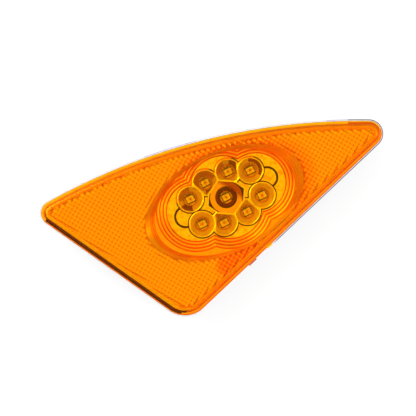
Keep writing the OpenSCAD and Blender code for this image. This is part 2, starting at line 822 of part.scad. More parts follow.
lens();
reflector();
circuit_board();
led(0);  // led_1
led(1);  // led_2
led(2);  // led_3
led(3);  // led_4
led(4);  // led_5
led(5);  // led_6
led(6);  // led_7
led(7);  // led_8
led(8);  // led_9
terminal(0);  // terminal_1
terminal(1);  // terminal_2
terminal(2);  // terminal_3
resistors();
diodes();
current_driver();
capacitor();
surge_suppressor();
rear_housing();
housing_seal();
mounting_gasket();
board_screws();
cover_screws();
insert(0);  // insert_left
insert(1);  // insert_right
insert(2);  // insert_low
vent_plug();
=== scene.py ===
# %% [markdown]
# This lesson dresses a side repeater lamp: an amber lens with a reflex field and an oval
# window, over a bright reflector with nine cups and a light emitting diode in each cup.
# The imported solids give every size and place. The lens, the reflector and the diodes are
# made again here with finer surfaces, because smooth glass and bright metal show each facet.
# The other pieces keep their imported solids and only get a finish.

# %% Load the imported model
import math

import bmesh
import bpy
import numpy as np
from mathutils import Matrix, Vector, noise
from mathutils.geometry import delaunay_2d_cdt


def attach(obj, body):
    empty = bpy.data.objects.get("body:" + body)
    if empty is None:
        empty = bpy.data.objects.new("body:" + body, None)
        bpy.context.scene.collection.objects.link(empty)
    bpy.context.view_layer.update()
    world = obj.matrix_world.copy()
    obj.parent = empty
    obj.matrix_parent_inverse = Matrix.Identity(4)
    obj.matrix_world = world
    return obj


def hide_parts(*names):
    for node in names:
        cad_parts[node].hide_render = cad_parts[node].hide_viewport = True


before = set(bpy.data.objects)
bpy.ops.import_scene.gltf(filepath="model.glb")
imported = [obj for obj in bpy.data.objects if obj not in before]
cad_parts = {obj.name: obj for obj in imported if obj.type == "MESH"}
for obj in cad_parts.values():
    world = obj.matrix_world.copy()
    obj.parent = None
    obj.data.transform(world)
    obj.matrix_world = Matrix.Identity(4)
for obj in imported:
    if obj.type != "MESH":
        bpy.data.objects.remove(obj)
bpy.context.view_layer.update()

MM = 0.001

# %% [markdown]
# Shader maths reads best as plain expressions. Blender keeps it in nodes, so one small class
# wraps an output socket and turns +, -, * and / into Math nodes. A second class holds a
# material, or the sky, and makes any other node by its type, its settings and its inputs. A
# list of helper functions, one per node type, would be longer and would hide Blender's own
# names. A few methods give what this lamp needs often: a distance, a wave, a grain, a ramp.


# %% A direction in the plane
def unit(degrees):
    return np.array((math.cos(math.radians(degrees)), math.sin(math.radians(degrees))))


print("a unit along 30 degrees:", unit(30).round(3))


# %% A socket with Python's operators
class Wire:
    def __init__(self, paint, socket):
        self.paint, self.socket = paint, socket

    def __add__(self, other):
        return self.paint.maths("ADD", self, other)

    def __sub__(self, other):
        return self.paint.maths("SUBTRACT", self, other)

    def __rsub__(self, other):
        return self.paint.maths("SUBTRACT", other, self)

    def __mul__(self, other):
        return self.paint.maths("MULTIPLY", self, other)

    def __truediv__(self, other):
        return self.paint.maths("DIVIDE", self, other)

    def __rtruediv__(self, other):
        return self.paint.maths("DIVIDE", other, self)

    __radd__, __rmul__ = __add__, __mul__


# %% A material, or the sky, that makes its own nodes
class Paint:
    def __init__(self, name, world=None):
        self.material = world or bpy.data.materials.new(name)
        self.material.use_nodes = True
        self.tree = self.material.node_tree
        self.tree.nodes.clear()
        kind = "ShaderNodeOutputWorld" if world else "ShaderNodeOutputMaterial"
        self.output = self.tree.nodes.new(kind)

    def node(self, kind, settings=None, inputs=None, out=0):
        made = self.tree.nodes.new(kind)
        for key, value in (settings or {}).items():
            if key == "stops":
                stops = made.color_ramp.elements
                while len(stops) < len(value):
                    stops.new(1)
                for stop, (place, colour) in zip(stops, value):
                    stop.position, stop.color = place, (*colour, 1)
            else:
                setattr(made, key, value)
        for key, value in (inputs or {}).items():
            if isinstance(value, Wire):
                self.tree.links.new(value.socket, made.inputs[key])
            else:
                made.inputs[key].default_value = value
        return Wire(self, made.outputs[out])

    def shows(self, surface, volume=None):
        self.tree.links.new(surface.socket, self.output.inputs["Surface"])
        if volume:
            self.tree.links.new(volume.socket, self.output.inputs["Volume"])
        return self.material

    def maths(self, operation, *values):
        return self.node("ShaderNodeMath", {"operation": operation}, dict(enumerate(values)))

    def place(self):
        return self.node("ShaderNodeNewGeometry", out="Position")

    def along(self, direction, origin=(0, 0)):
        """Distance in mm from origin along a direction in the plane."""
        x, y = direction
        inputs = {0: self.place(), 1: (x / MM, y / MM, 0)}
        settings = {"operation": "DOT_PRODUCT"}
        dot = self.node("ShaderNodeVectorMath", settings, inputs, out="Value")
        return dot - (x * origin[0] + y * origin[1])

    def wave(self, direction, length):
        """1 on lines that are length apart across a direction, -1 halfway between."""
        return self.maths("COSINE", self.along(direction) * (2 * math.pi / length))

    def spot(self, centre, turned, long, short):
        """1 inside an oval of half sizes long and short, fading to 0 outside it."""
        a = self.along(unit(turned), centre) / long
        b = self.along(unit(turned + 90), centre) / short
        end, sharpness = 1.25, 2
        return self.limited((end - (a * a + b * b)) * sharpness)

    def limited(self, wire):
        return self.maths("MINIMUM", self.maths("MAXIMUM", wire, 0.0), 1.0)

    def grain(self, size, detail=2.0):
        inputs = {"Vector": self.place(), "Scale": 1 / (size * MM), "Detail": detail}
        return self.node("ShaderNodeTexNoise", None, inputs, out="Fac")

    def gloss(self, grain, roughness, spread=0.1):
        """A roughness that varies by spread about its middle value."""
        return grain * spread + (roughness - spread / 2)

    def ramp(self, factor, *stops):
        return self.node("ShaderNodeValToRGB", {"stops": stops}, {"Fac": factor})

    def blend(self, factor, first, second):
        wires = {0: factor, 6: first, 7: second}
        wires = {k: (*v, 1) if isinstance(v, tuple) else v for k, v in wires.items()}
        return self.node("ShaderNodeMix", {"data_type": "RGBA"}, wires, out=2)

    def bump(self, height, distance, strength=1.0):
        inputs = {"Height": height, "Distance": distance * MM, "Strength": strength}
        return self.node("ShaderNodeBump", None, inputs)

    def principled(self, **inputs):
        named = {key.replace("_", " "): value for key, value in inputs.items()}
        if isinstance(named["Base Color"], tuple):
            named["Base Color"] = (*named["Base Color"], 1)
        return self.node("ShaderNodeBsdfPrincipled", None, named)


print("Wire and Paint are ready")


# %% [markdown]
# The real lens is one amber acrylic moulding. Its colour deepens with the thickness that
# light has passed, so the tint is an absorption inside the glass and not a painted surface:
# the window looks yellow, the prisms orange and the tall skirt red. The density is how much
# blue each metre takes off, and the colour says how much less green and red lose.

# %% Amber acrylic
ABSORB_RED, ABSORB_GREEN, ABSORB_BLUE = 3.0, 120.0, 1200.0
paint = Paint("amber_acrylic")
glass = paint.principled(
    Base_Color=(1.0, 0.97, 0.85),
    Roughness=0.02,
    Normal=paint.bump(paint.grain(9), 0.02),
    Specular_Tint=(1.0, 0.4, 0.03, 1.0),
    IOR=1.49,
    Transmission_Weight=1.0,
)
tint = (1 - ABSORB_RED / ABSORB_BLUE, 1 - ABSORB_GREEN / ABSORB_BLUE, 0.0, 1.0)
inputs = {"Color": tint, "Density": ABSORB_BLUE}
amber_acrylic = paint.shows(glass, paint.node("ShaderNodeVolumeAbsorption", None, inputs))
print("amber's tint:", tint)

# %% [markdown]
# The outline is a crowned edge, two straight edges and three round corners. Each inset of it
# is worked out again from circles and lines, so its arcs stay arcs, as in a mould that a
# machinist draws. A mesh offset would be simpler but would kink at the small corners.

# %% The outline and its insets
CROWN_R, TO_BLUNT, TO_POINT = 277.0, 75.7, 87.5
SHORT_SLOPE, LONG_SLOPE = 50.3, 28.4
BLUNT_R, POINT_R, LOW_R, SHARP_R = 5.0, 5.2, 11.2, 0.8
CORNER_STEPS, CROWN_STEPS = 20, 110


def on_crown(x):
    return np.array((x, math.sqrt(CROWN_R**2 - x * x) - CROWN_R))


crown_o = np.array((0.0, -CROWN_R))
short_n, short_t = unit(90 - SHORT_SLOPE), unit(180 - SHORT_SLOPE)
long_n, long_t = unit(90 + LONG_SLOPE), unit(LONG_SLOPE)
short_c, long_c = short_n @ on_crown(-TO_BLUNT), long_n @ on_crown(TO_POINT)


def crown_corner(normal, along, c, r):
    h = c + r - normal @ crown_o
    return crown_o + h * normal + math.sqrt((CROWN_R - r) ** 2 - h * h) * along


def low_corner(r):
    return np.linalg.solve(np.array((short_n, long_n)), np.array((short_c + r, long_c + r)))


def arc(centre, r, start, end, steps):
    return [centre + r * unit(a) for a in np.linspace(start, end, steps + 1)]


def heading(x, y):
    return np.degrees(np.arctan2(y, x))


middle = np.array(
    (
        (crown_corner(short_n, short_t, short_c, BLUNT_R)[0] - BLUNT_R
         + crown_corner(long_n, long_t, long_c, POINT_R)[0] + POINT_R) / 2,
        (low_corner(LOW_R)[1] - LOW_R) / 2,
    )
)


def outline(inset):
    rp, rb, rl = (max(r - inset, SHARP_R) for r in (POINT_R, BLUNT_R, LOW_R))
    cp = crown_corner(long_n, long_t, long_c, inset + rp)
    cb = crown_corner(short_n, short_t, short_c, inset + rb)
    cl = low_corner(inset + rl)
    ap, ab = heading(*(cp - crown_o)), heading(*(cb - crown_o))
    points = arc(cp, rp, LONG_SLOPE - 90, ap, CORNER_STEPS)
    points += arc(crown_o, CROWN_R - inset, ap, ab, CROWN_STEPS)[1:-1]
    points += arc(cb, rb, ab, 270 - SHORT_SLOPE, CORNER_STEPS)
    points += arc(cl, rl, 270 - SHORT_SLOPE, 270 + LONG_SLOPE, CORNER_STEPS)
    return np.array(points) - middle


print("lens outline, mm:", outline(0).min(0).round(2), outline(0).max(0).round(2))

# %% [markdown]
# The oval window and the group of cups are both turned a little from the lamp's length, so
# each has its own axes. Points go into those axes to be measured, and shapes come out of them.

# %% Window and cup axes
TILT = 10.8
WINDOW_A, WINDOW_B = 36.4, 21.7
window_o = np.array((2.3, 7.5))
cups_o = window_o + (1.2, 1.9)
tilt_x, tilt_y = unit(TILT), unit(TILT + 90)


def into(points, origin):
    away = np.asarray(points) - origin
    return away @ tilt_x, away @ tilt_y


def out_of(u, v, origin):
    u, v = np.broadcast_arrays(np.asarray(u, float), np.asarray(v, float))
    return origin + u[..., None] * tilt_x + v[..., None] * tilt_y


def oval(a, b, steps=180):
    turn = np.linspace(0, 2 * math.pi, steps, endpoint=False)
    return out_of(a * np.cos(turn), b * np.sin(turn), window_o)


def circle(u, v, r, steps=96):
    turn = np.linspace(0, 2 * math.pi, steps, endpoint=False)
    return out_of(u + r * np.cos(turn), v + r * np.sin(turn), cups_o)


print("window centre, mm:", window_o, "cups centre, mm:", cups_o)

# %% [markdown]
# Moulded surfaces are made in two ways here. Walls that follow the outline are lofts: rings
# of points joined by strips. Surfaces that look up, such as the reflector's cups, are height
# maps: feature lines are drawn in the plane, the plane is divided into triangles that keep
# those lines as edges, and each point is lifted to its height. The triangles then lie exactly
# along rims and ridges, which a regular grid can't do.

# %% A mesh that grows ring by ring
class Shell:
    def __init__(self, skin):
        self.points, self.faces, self.skins, self.skin = [], [], [], skin

    def add(self, faces, skin=None):
        self.faces += [tuple(int(i) for i in face) for face in faces]
        self.skins += [skin or self.skin] * (len(self.faces) - len(self.skins))

    def ring(self, flat, z):
        start = len(self.points)
        heights = np.broadcast_to(z, len(flat))
        self.points += [(p[0], p[1], h) for p, h in zip(flat, heights)]
        return list(range(start, len(self.points)))

    def strip(self, low, high, skins=None):
        n = len(low)
        for i in range(n):
            j = (i + 1) % n
            self.add([(low[i], low[j], high[j], high[i])], skins and skins[i])

    def loft(self, last, rows):
        """Strips from a ring through rows of points, height and skins; gives the last ring."""
        for flat, z, skins in rows:
            ring = self.ring(flat, z)
            self.strip(last, ring, skins)
            last = ring
        return last

    def piece(self, name, smooth=35):
        mesh = bpy.data.meshes.new(name)
        mesh.from_pydata([Vector(p) * MM for p in self.points], [], self.faces)
        used = list(dict.fromkeys(self.skins))
        for skin in used:
            mesh.materials.append(skin)
        mesh.polygons.foreach_set("material_index", [used.index(skin) for skin in self.skins])
        made = bpy.data.objects.new(name, mesh)
        bpy.context.scene.collection.objects.link(made)
        turned = bmesh.new()
        turned.from_mesh(mesh)
        bmesh.ops.recalc_face_normals(turned, faces=turned.faces)
        turned.to_mesh(mesh)
        turned.free()
        mesh.shade_smooth()
        mesh.set_sharp_from_angle(angle=math.radians(smooth))
        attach(made, "root")
        points, faces = len(mesh.vertices), len(mesh.polygons)
        print(f"{name}: {points} points, {faces} faces, {len(used)} finishes")
        return made


# %% A plane divided along feature lines
def inside(points, ring):
    """True where a point lies inside a closed ring."""
    x, y = points[:, 0], points[:, 1]
    hit = np.zeros(len(points), bool)
    for (x0, y0), (x1, y1) in zip(ring, np.roll(ring, -1, axis=0)):
        cross = (y0 > y) != (y1 > y)
        if cross.any():
            hit ^= cross & (x < (x1 - x0) * (y - y0) / ((y1 - y0) or 1e-12) + x0)
    return hit


MERGE = 1e-4


def divide(boundary, lines, loose, creases=()):
    """Points and triangles inside boundary that keep each closed line and crease as edges.

    The creases are pairs of numbers of loose points. Points nearer than MERGE become one."""
    spots, edges = [], []
    for ring in [boundary, *lines]:
        start, n = len(spots), len(ring)
        spots += [tuple(p) for p in ring]
        edges += [(start + i, start + (i + 1) % n) for i in range(n)]
    edges += [(len(spots) + a, len(spots) + b) for a, b in creases]
    spots += [tuple(p) for p in loose]
    flat, _, triangles, origin, _, _ = delaunay_2d_cdt(spots, edges, [], 0, MERGE)
    flat, triangles = np.array([tuple(p) for p in flat]), np.array(triangles)
    place = {old: new for new, olds in enumerate(origin) for old in olds}
    border = [place[i] for i in range(len(boundary))]
    triangles = triangles[inside(flat[triangles].mean(1), np.asarray(boundary))]
    return flat, triangles, border


def last_true(test, count, low, high, halvings):
    """For each of count points, the last value from low to high that passes the test."""
    low, high = np.full(count, low), np.full(count, high)
    for _ in range(halvings):
        mid = (low + high) / 2
        passed = test(mid)
        low, high = np.where(passed, mid, low), np.where(passed, high, mid)
    return low


print("points closer than this become one, mm:", MERGE)

# %% [markdown]
# Vacuum-metallised plastic is a mirror with faint orange peel. Inside the lamp it hardly ever
# shows plain silver: its steep walls mirror the amber lens and each other, so they read deeper
# than its flats. Here that is painted: each zone gets its own painted shade of the same skin,
# with painted reflections on the walls, the bowls, the oval wall's lines and the flange's edge,
# and painted shade in the grooves, the middle cup, one side of the recess and the foot of the
# oval wall. Each zone's roughness and peel vary with noise. Leaving all of it silver would be
# simpler, but at this size the walls would then vanish into the flats.


# %% Bright metal of the reflector
def uneven(colour):
    """A shade a little deeper; seen through amber, full red stays nearly full."""
    red, green, blue = colour
    return (red * (0.98 if red == 1 else 0.88), green * 0.88, blue * 0.88)


def metallised(
    name, colour, roughness, metallic=1.0, specular=0.5, second=None, mask=None, coarse=False
):
    """One shade of the bright skin, or two where a mask says which."""
    paint = Paint(name)
    shade = paint.ramp(paint.grain(2), (0.3, uneven(colour)), (0.6, colour))
    if second:
        shade = paint.blend(mask(paint), shade, second)
    size, peel = (0.9, 0.03) if coarse else (1.2, 0.006)
    skin = paint.principled(
        Base_Color=shade,
        Metallic=metallic,
        Specular_IOR_Level=specular,
        Roughness=paint.gloss(paint.grain(3, 3), roughness, 0.08),
        Normal=paint.bump(paint.grain(size, 3), peel),
    )
    return paint.shows(skin)


def toward(degrees, origin, start, width):
    """A mask: 0 until start along a direction from origin, and 1 from a width further on."""
    return lambda paint: paint.limited((paint.along(unit(degrees), origin) - start) / width)


def patchy(paint):
    """A mask of irregular patches, a millimetre or two across."""
    return paint.limited((paint.grain(1.6, 3) - 0.5) * 7)


# A mask for the right side of the oval wall, where its painted shade is deeper on the wall and
# lighter at the foot.
right_side_shading = toward(TILT - 30, window_o, -6, 15)
# Masks for the painted shade on the right side of the recess and for the left part of the
# flange's edge.
recess_right_shading, left_part = toward(TILT + 30, cups_o, 2.5, 2), toward(180, (0, 0), -20, 3)
SILVER = (0.92, 0.9, 0.86)
bright_metal = metallised("metallised_plastic", SILVER, 0.12)
floor_metal = metallised(
    "metallised_floor", (1.0, 0.82, 0.42), 0.25, second=(1.0, 0.5, 0.16), mask=patchy, coarse=True
)
rim_metal = metallised("metallised_rims", (1.0, 0.85, 0.45), 0.2)
riser_painted_reflection = metallised("risers_painted_reflection", (1.0, 0.1, 0.03), 0.3)
groove_painted_light = metallised("grooves_painted_light", (1.0, 0.24, 0.06), 0.3)
tread_metal = metallised("metallised_treads", (1.0, 0.54, 0.2), 0.3, coarse=True)
dish_metal = metallised(
    "metallised_dish", (1.0, 0.6, 0.18), 0.3, 0.7, second=(1.0, 0.44, 0.09), mask=right_side_shading
)
dish_foot_painted_shade = metallised(
    "metallised_dish_foot", (1.0, 0.4, 0.1), 0.3, 0.5, second=(1.0, 0.5, 0.12), mask=right_side_shading
)
dish_painted_reflection_line = metallised("metallised_dish_lines", (1.0, 0.12, 0.03), 0.3, 0.5)
bowl_metal = metallised("metallised_bowls", (1.0, 0.78, 0.22), 0.35, 0.1)
bowl_foot = metallised("metallised_bowl_feet", (1.0, 0.42, 0.08), 0.3, 0.5)
bowl_mauve_reflection = metallised("bowls_mauve_painted_reflection", (0.72, 0.3, 0.6), 0.4, 0.2)
bowl_brown_reflection = metallised("bowls_brown_painted_reflection", (0.4, 0.12, 0.04), 0.35, 0.7)
# The middle cup's skins: painted shade over the whole bowl, and a painted reflection.
middle_bowl_shade = metallised("middle_bowl", (0.28, 0.008, 0.002), 0.4, 0.3, specular=0.0)
middle_bowl_reflection = metallised("middle_bowl_painted_reflection", (0.2, 0.05, 0.03), 0.35, 0.7)
recess_metal = metallised(
    "metallised_recess", (1.0, 0.5, 0.14), 0.3, second=(0.4, 0.07, 0.02), mask=recess_right_shading
)
# A near-black skin for painted shade in grooves, corners and the middle cup.
groove_shade = metallised("grooves_painted_shade", (0.04, 0.01, 0.02), 0.6, 0.0, specular=0.0)
field_backing = metallised("field_backing", (0.6, 0.2, 0.08), 0.5)
lip_dark_reflection = metallised("flange_edge_painted_dark_reflection", (0.1, 0.1, 0.15), 0.4, second=SILVER, mask=left_part)
lip_lavender_reflection = metallised("flange_edge_painted_lavender_reflection", (0.55, 0.52, 0.72), 0.4)
print("materials so far:", len(bpy.data.materials))

# %% [markdown]
# The reflex field is a bed of small pyramids on the inner face of the lens. Each one has a
# right angle at its tip, so light that comes in through the face is turned back by its two
# slopes, and the field shines amber without a lamp behind it. The pyramids are real points in
# the mesh: a square lattice of corners, with a tip in the middle of each cell, cut where the
# bed ends so that its border stays a clean line. Bump mapping would be lighter, but it leaves
# the slopes flat when the lamp is turned. Their skin is a mirror in amber shades, since clear
# slopes would need many more bounces of light to look as bright as they are.

# %% Heights and insets of the lens, in millimetres
FLANGE_Z, FOOT_Z, CEILING_Z, FACE_Z = 18.0, 20.0, 27.4, 30.0
SEAT_GAP, FOOT_OUT = 0.02, 0.35
FOOT_W, FOOT_H, SHOULDER, SHOULDER_SLOPE = 1.1, 1.6, 3.3, 45
GATE_AT = 77.0
SKIRT_IN, CEILING_IN, BED_IN = 2.4, 3.0, 3.4
PRISM, LATTICE, TIP_Z, EDGE = 1.69, 45, 26.5, 0.1
FOOT_ROUND = 0.2
GATE_L, GATE_NEAR, GATE_FAR, GATE_Z = 1.3, 0.03, 0.85, (FOOT_Z + 0.05, FOOT_Z + FOOT_H - 0.3)
PATCH_AT, PATCH_L, PATCH_W = (1.5, -16.2), 10.5, 5.5
print("bed of pyramids starts at, mm in from the outline:", BED_IN)


# %% Shade of the pyramids
def prism_paint():
    """Painted shade at the corners where four pyramids meet, painted highlights on the tips, and
    a deeper orange beside the oval.
    """
    paint = Paint("prism_facets")
    # crest is 1 at the corners, where the ramps paint shade, and 0 at the tips, where they paint
    # highlights.
    crest = (paint.wave(unit(LATTICE), PRISM) + paint.wave(unit(LATTICE + 90), PRISM)) / 4 + 0.5
    tip, slope, corner = (1.0, 0.82, 0.28), (1.0, 0.78, 0.2), (1.0, 0.56, 0.12)
    usual = paint.ramp(crest, (0.1, tip), (0.6, slope), (0.95, corner))
    tip, slope, corner = (1.0, 0.66, 0.1), (1.0, 0.56, 0.05), (1.0, 0.26, 0.02)
    deep = paint.ramp(crest, (0.1, tip), (0.5, slope), (0.95, corner))
    patch = paint.spot(PATCH_AT, LONG_SLOPE, PATCH_L, PATCH_W)
    beside = paint.spot(window_o, TILT, WINDOW_A * 1.08, WINDOW_B * 1.1)
    beside *= toward(TILT + 30, window_o, -4.5, 15)(paint)
    shade = paint.blend(paint.maths("MAXIMUM", patch, beside), usual, deep)
    near_short = toward(heading(*short_n) + 180, on_crown(-TO_BLUNT) - middle, -6, 2)
    shade = paint.blend(near_short(paint), shade, (1.0, 0.75, 0.17))
    gloss = paint.gloss(paint.grain(4), 0.11, 0.06)
    return paint.shows(paint.principled(Base_Color=shade, Metallic=1.0, Roughness=gloss))


prism_facets = prism_paint()
print("pyramids, mm apart:", PRISM, "deep:", PRISM / 2)


# %% The inner face of the lens
def lattice(points):
    """Places in units of a pyramid: whole numbers are corners, halves are tips."""
    return np.array((points @ unit(LATTICE), points @ unit(LATTICE + 90))) / PRISM


def on_bed(points, share=1.0):
    """True inside the bed, or inside a share of the small step round it."""
    step = EDGE * share
    window = oval(WINDOW_A + step, WINDOW_B + step)
    return inside(points, outline(BED_IN + step)) & ~inside(points, window)


def lattice_creases():
    """The pyramids' edges, cut where they leave the bed, as pairs of points."""
    count = np.arange(-60, 61)  # more than cover the lens
    one, two = unit(LATTICE) * PRISM, unit(LATTICE + 90) * PRISM
    corners = np.array([i * one + j * two for i in count for j in count])
    corners = corners[inside(corners, outline(-2))]
    ways = [one, two, (one + two) / 2, (one - two) / 2, (two - one) / 2, (-one - two) / 2]
    pairs = np.concatenate([np.stack((corners, corners + way), 1) for way in ways])
    first, second = on_bed(pairs[:, 0], 0.5), on_bed(pairs[:, 1], 0.5)
    pairs[second & ~first] = pairs[second & ~first][:, ::-1]
    cut = pairs[first != second]

    def on_way(share):
        return cut[:, 0] + share[:, None] * (cut[:, 1] - cut[:, 0])

    reach = last_true(lambda share: on_bed(on_way(share), 0.5), len(cut), 0.0, 1.0, 20)
    cut[:, 1] = on_way(reach)
    return np.concatenate((pairs[first & second], cut))


def ceiling():
    """Flat over the window, right-angled pyramids over the rest."""
    lines = [outline(BED_IN), outline(BED_IN + EDGE)]
    lines += [oval(WINDOW_A, WINDOW_B), oval(WINDOW_A + EDGE, WINDOW_B + EDGE)]
    ends = lattice_creases().reshape(-1, 2).round(5)
    loose, pairs = np.unique(ends, axis=0, return_inverse=True)
    flat, triangles, border = divide(outline(CEILING_IN), lines, loose, pairs.reshape(-1, 2))
    off_tip = PRISM * abs(lattice(flat) % 1 - 0.5).max(0)
    heights = np.where(on_bed(flat, 0.95), TIP_Z + off_tip, CEILING_Z)
    print("pyramids:", int((heights < TIP_Z + 0.01).sum()))
    return flat, triangles, border, heights


# %% [markdown]
# The edge of the lens is a tall wall of thick amber on a wider foot. The eye looks down through
# its round shoulder, which spreads the inside of that wall into thin bands: yellow and orange
# along the crowned and the long edge, and nearly black along the short edge, where the wall
# mirrors the dark housing. One even finish would lose those bands, so they are painted: each row
# of the wall and foot has its own painted shade, with a painted reflection of the dark housing
# along the short edge, and edge_skins() changes it at the corners of the outline.

# %% Painted shades seen through the edge of the lens
def edge_paint(name, colour, metallic=0.5, roughness=0.4, specular=0.5):
    paint = Paint(name)
    skin = paint.principled(
        Base_Color=paint.ramp(paint.grain(5), (0.35, uneven(colour)), (0.6, colour)),
        Metallic=metallic,
        Specular_IOR_Level=specular,
        Roughness=paint.gloss(paint.grain(3), roughness),
    )
    return paint.shows(skin)


edge_amber = edge_paint("edge_amber", (1.0, 0.6, 0.12))
edge_orange = edge_paint("edge_orange", (1.0, 0.4, 0.06))
edge_deep = edge_paint("edge_deep_orange", (1.0, 0.3, 0.05))
# The three dark shades below are painted reflections of the dark housing, for the short edge and
# its blunt corner.
edge_crimson = edge_paint("edge_crimson", (0.3, 0.01, 0.005), 0.0, 0.8, specular=0.0)
edge_brown = edge_paint("edge_brown", (0.25, 0.05, 0.03), 0.0, 0.8, specular=0.0)
edge_black = edge_paint("edge_black", (0.05, 0.01, 0.04), 0.0, 0.8, specular=0.0)
wall_amber = edge_paint("wall_amber", (1.0, 0.85, 0.25), 0.7, 0.3)
wall_yellow = edge_paint("wall_yellow", (1.0, 0.95, 0.4), 0.7, 0.3)
foot_yellow = edge_paint("foot_yellow", (1.0, 0.75, 0.2), 1.0, 0.15)
foot_gold = edge_paint("foot_gold", (1.0, 0.6, 0.12), 1.0, 0.15)
foot_orange = edge_paint("foot_orange", (1.0, 0.42, 0.08), 1.0, 0.15)
foot_red = edge_paint("foot_red", (1.0, 0.24, 0.03), 1.0, 0.15)
foot_dark_red_shade = edge_paint("foot_dark_red_shade", (0.75, 0.1, 0.01), 1.0, 0.15)
painted_prism_glint = edge_paint("painted_prism_glint", (1.0, 1.0, 0.6), 1.0, 0.1)
print("materials so far:", len(bpy.data.materials))

# %% Segments of the outline, in the order of its points
POINT_TURN = range(CORNER_STEPS)
BLUNT_TURN = range(CORNER_STEPS + CROWN_STEPS, 2 * CORNER_STEPS + CROWN_STEPS)
SHORT_EDGE = 2 * CORNER_STEPS + CROWN_STEPS
LOW_TURN = range(SHORT_EDGE + 1, SHORT_EDGE + 1 + CORNER_STEPS)
LONG_EDGE = SHORT_EDGE + 1 + CORNER_STEPS
# A streak of painted dark red shade on the foot, near the pointed corner.
STREAK, STREAK_ROW = range(CORNER_STEPS // 2, CORNER_STEPS + 7), 5
print("segments of the outline:", LONG_EDGE + 1)


# %% A skin for each segment of a row
def edge_skins(crown, blunt, short, long, last):
    """The short edge's skin ends at step last of the low turn."""
    skins = [crown] * (LONG_EDGE + 1)
    for i in BLUNT_TURN:
        skins[i] = blunt
    for i in (*BLUNT_TURN[-2:], SHORT_EDGE, *LOW_TURN):
        skins[i] = short
    for i in (*LOW_TURN[last:], LONG_EDGE, *POINT_TURN[: CORNER_STEPS // 2]):
        skins[i] = long
    return skins


def ceiling_skins(centres):
    """Clear over the window, prisms over the bed, painted shades of each side on its border, and
    painted glints by the crown.
    """
    from_crown = CROWN_R - np.hypot(*(centres + middle - crown_o).T)
    from_short = (centres + middle) @ short_n - short_c
    from_long = (centres + middle) @ long_n - long_c
    skins = np.full(len(centres), edge_deep, dtype=object)
    skins[from_short < BED_IN + EDGE] = edge_amber
    skins[from_long < BED_IN + EDGE] = edge_orange
    skins[inside(centres, oval(WINDOW_A + EDGE, WINDOW_B + EDGE))] = edge_orange
    skins[inside(centres, oval(WINDOW_A, WINDOW_B))] = amber_acrylic
    bed = on_bed(centres)
    skins[bed] = prism_facets
    one, two = lattice(centres) % 1 - 0.5
    # Painted glints on the first prisms by the crown.
    skins[bed & (from_crown < BED_IN + 1.2) & (abs(two) > abs(one))] = painted_prism_glint
    return skins


print("segments of the streak:", len(STREAK))


# %% A small bar outside the long edge, such as the stub of the gate on the foot
def bar(shell, from_point, half_l, near, far, low, high, under=None):
    """The bar's place is a distance along the edge from its pointed end."""
    place = on_crown(TO_POINT) - from_point * long_t - middle
    corners = [(-half_l, -near), (-half_l, -far), (half_l, -far), (half_l, -near)]
    flat = np.array([place + a * long_t + b * long_n for a, b in corners])
    below, above = shell.ring(flat, low), shell.ring(flat, high)
    shell.strip(below, above)
    shell.add([below[::-1]], under)
    shell.add([above])


print("the gate starts this far from the pointed end, mm:", GATE_AT - GATE_L)


# %% The lens: ceiling, skirt, foot, wall and face
def lens():
    shell = Shell(amber_acrylic)
    flat, triangles, border, heights = ceiling()
    shell.ring(flat, heights)
    for triangle, skin in zip(triangles, ceiling_skins(flat[triangles].mean(1))):
        shell.add([triangle[::-1]], skin)
    seat, top, r = FOOT_Z + SEAT_GAP, FOOT_Z + FOOT_H, FOOT_ROUND
    # Each row carries painted shades of what the shoulder shows of it.
    # Inset, height and the skins that edge_skins() takes
    inner = [
        (SKIRT_IN, CEILING_Z - 0.5, (edge_orange, edge_amber, edge_amber, edge_orange, 13)),
        (SKIRT_IN, 26.5, (wall_yellow, edge_crimson, edge_brown, wall_amber, 12)),
        (SKIRT_IN, 25.4, (wall_yellow, edge_crimson, edge_brown, wall_amber, 11)),
        (SKIRT_IN, seat, (edge_amber, edge_amber, edge_brown, edge_orange, 10)),
        (0.95, seat, (foot_gold, foot_gold, edge_black, foot_orange, 8)),
        (0.2, seat, (foot_gold, foot_gold, edge_black, foot_orange, 7)),
        (r - FOOT_OUT, seat, (foot_yellow, foot_yellow, foot_red, foot_red, 7)),
    ]
    rows = [(outline(inset), z, edge_skins(*skins)) for inset, z, skins in inner]
    # The streak gets its painted dark red shade on one row of the foot.
    for i in STREAK:
        rows[STREAK_ROW][2][i] = foot_dark_red_shade
    last = shell.loft(border, rows)
    o = -FOOT_OUT
    profile = [(o, seat + r), (o, top - r), (o + r / 3, top - r / 3), (o + r, top)]
    profile += [(FOOT_W - r, top), (FOOT_W, top + r)]
    round_r = (SHOULDER - FOOT_W) / math.sin(math.radians(SHOULDER_SLOPE))
    for turn in np.radians(np.linspace(SHOULDER_SLOPE, 0, 13)):
        inset = SHOULDER - round_r * math.sin(turn)
        profile.append((inset, FACE_Z - round_r * (1 - math.cos(turn))))
    profile.append((SHOULDER + 0.3, FACE_Z))
    shell.add([shell.loft(last, [(outline(inset), z, None) for inset, z in profile])])
    bar(shell, GATE_AT, GATE_L, GATE_NEAR, GATE_FAR, *GATE_Z, foot_yellow)
    return shell.piece("lens_moulding", smooth=20)


lens_moulding = lens()
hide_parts("lens")

# %% [markdown]
# The reflector is one plastic moulding with a vacuum-deposited metal skin. Seen through the
# window it has, from the middle out: a recess with two pointed ends and a deeper cup, eight
# cups with bowls like small headlamps, raised lips round them, two round pads, scalloped
# terraces and the oval wall. One function gives the height of all of that, from the same
# sizes as the solid, and the feature lines below it say where the mesh must have edges.

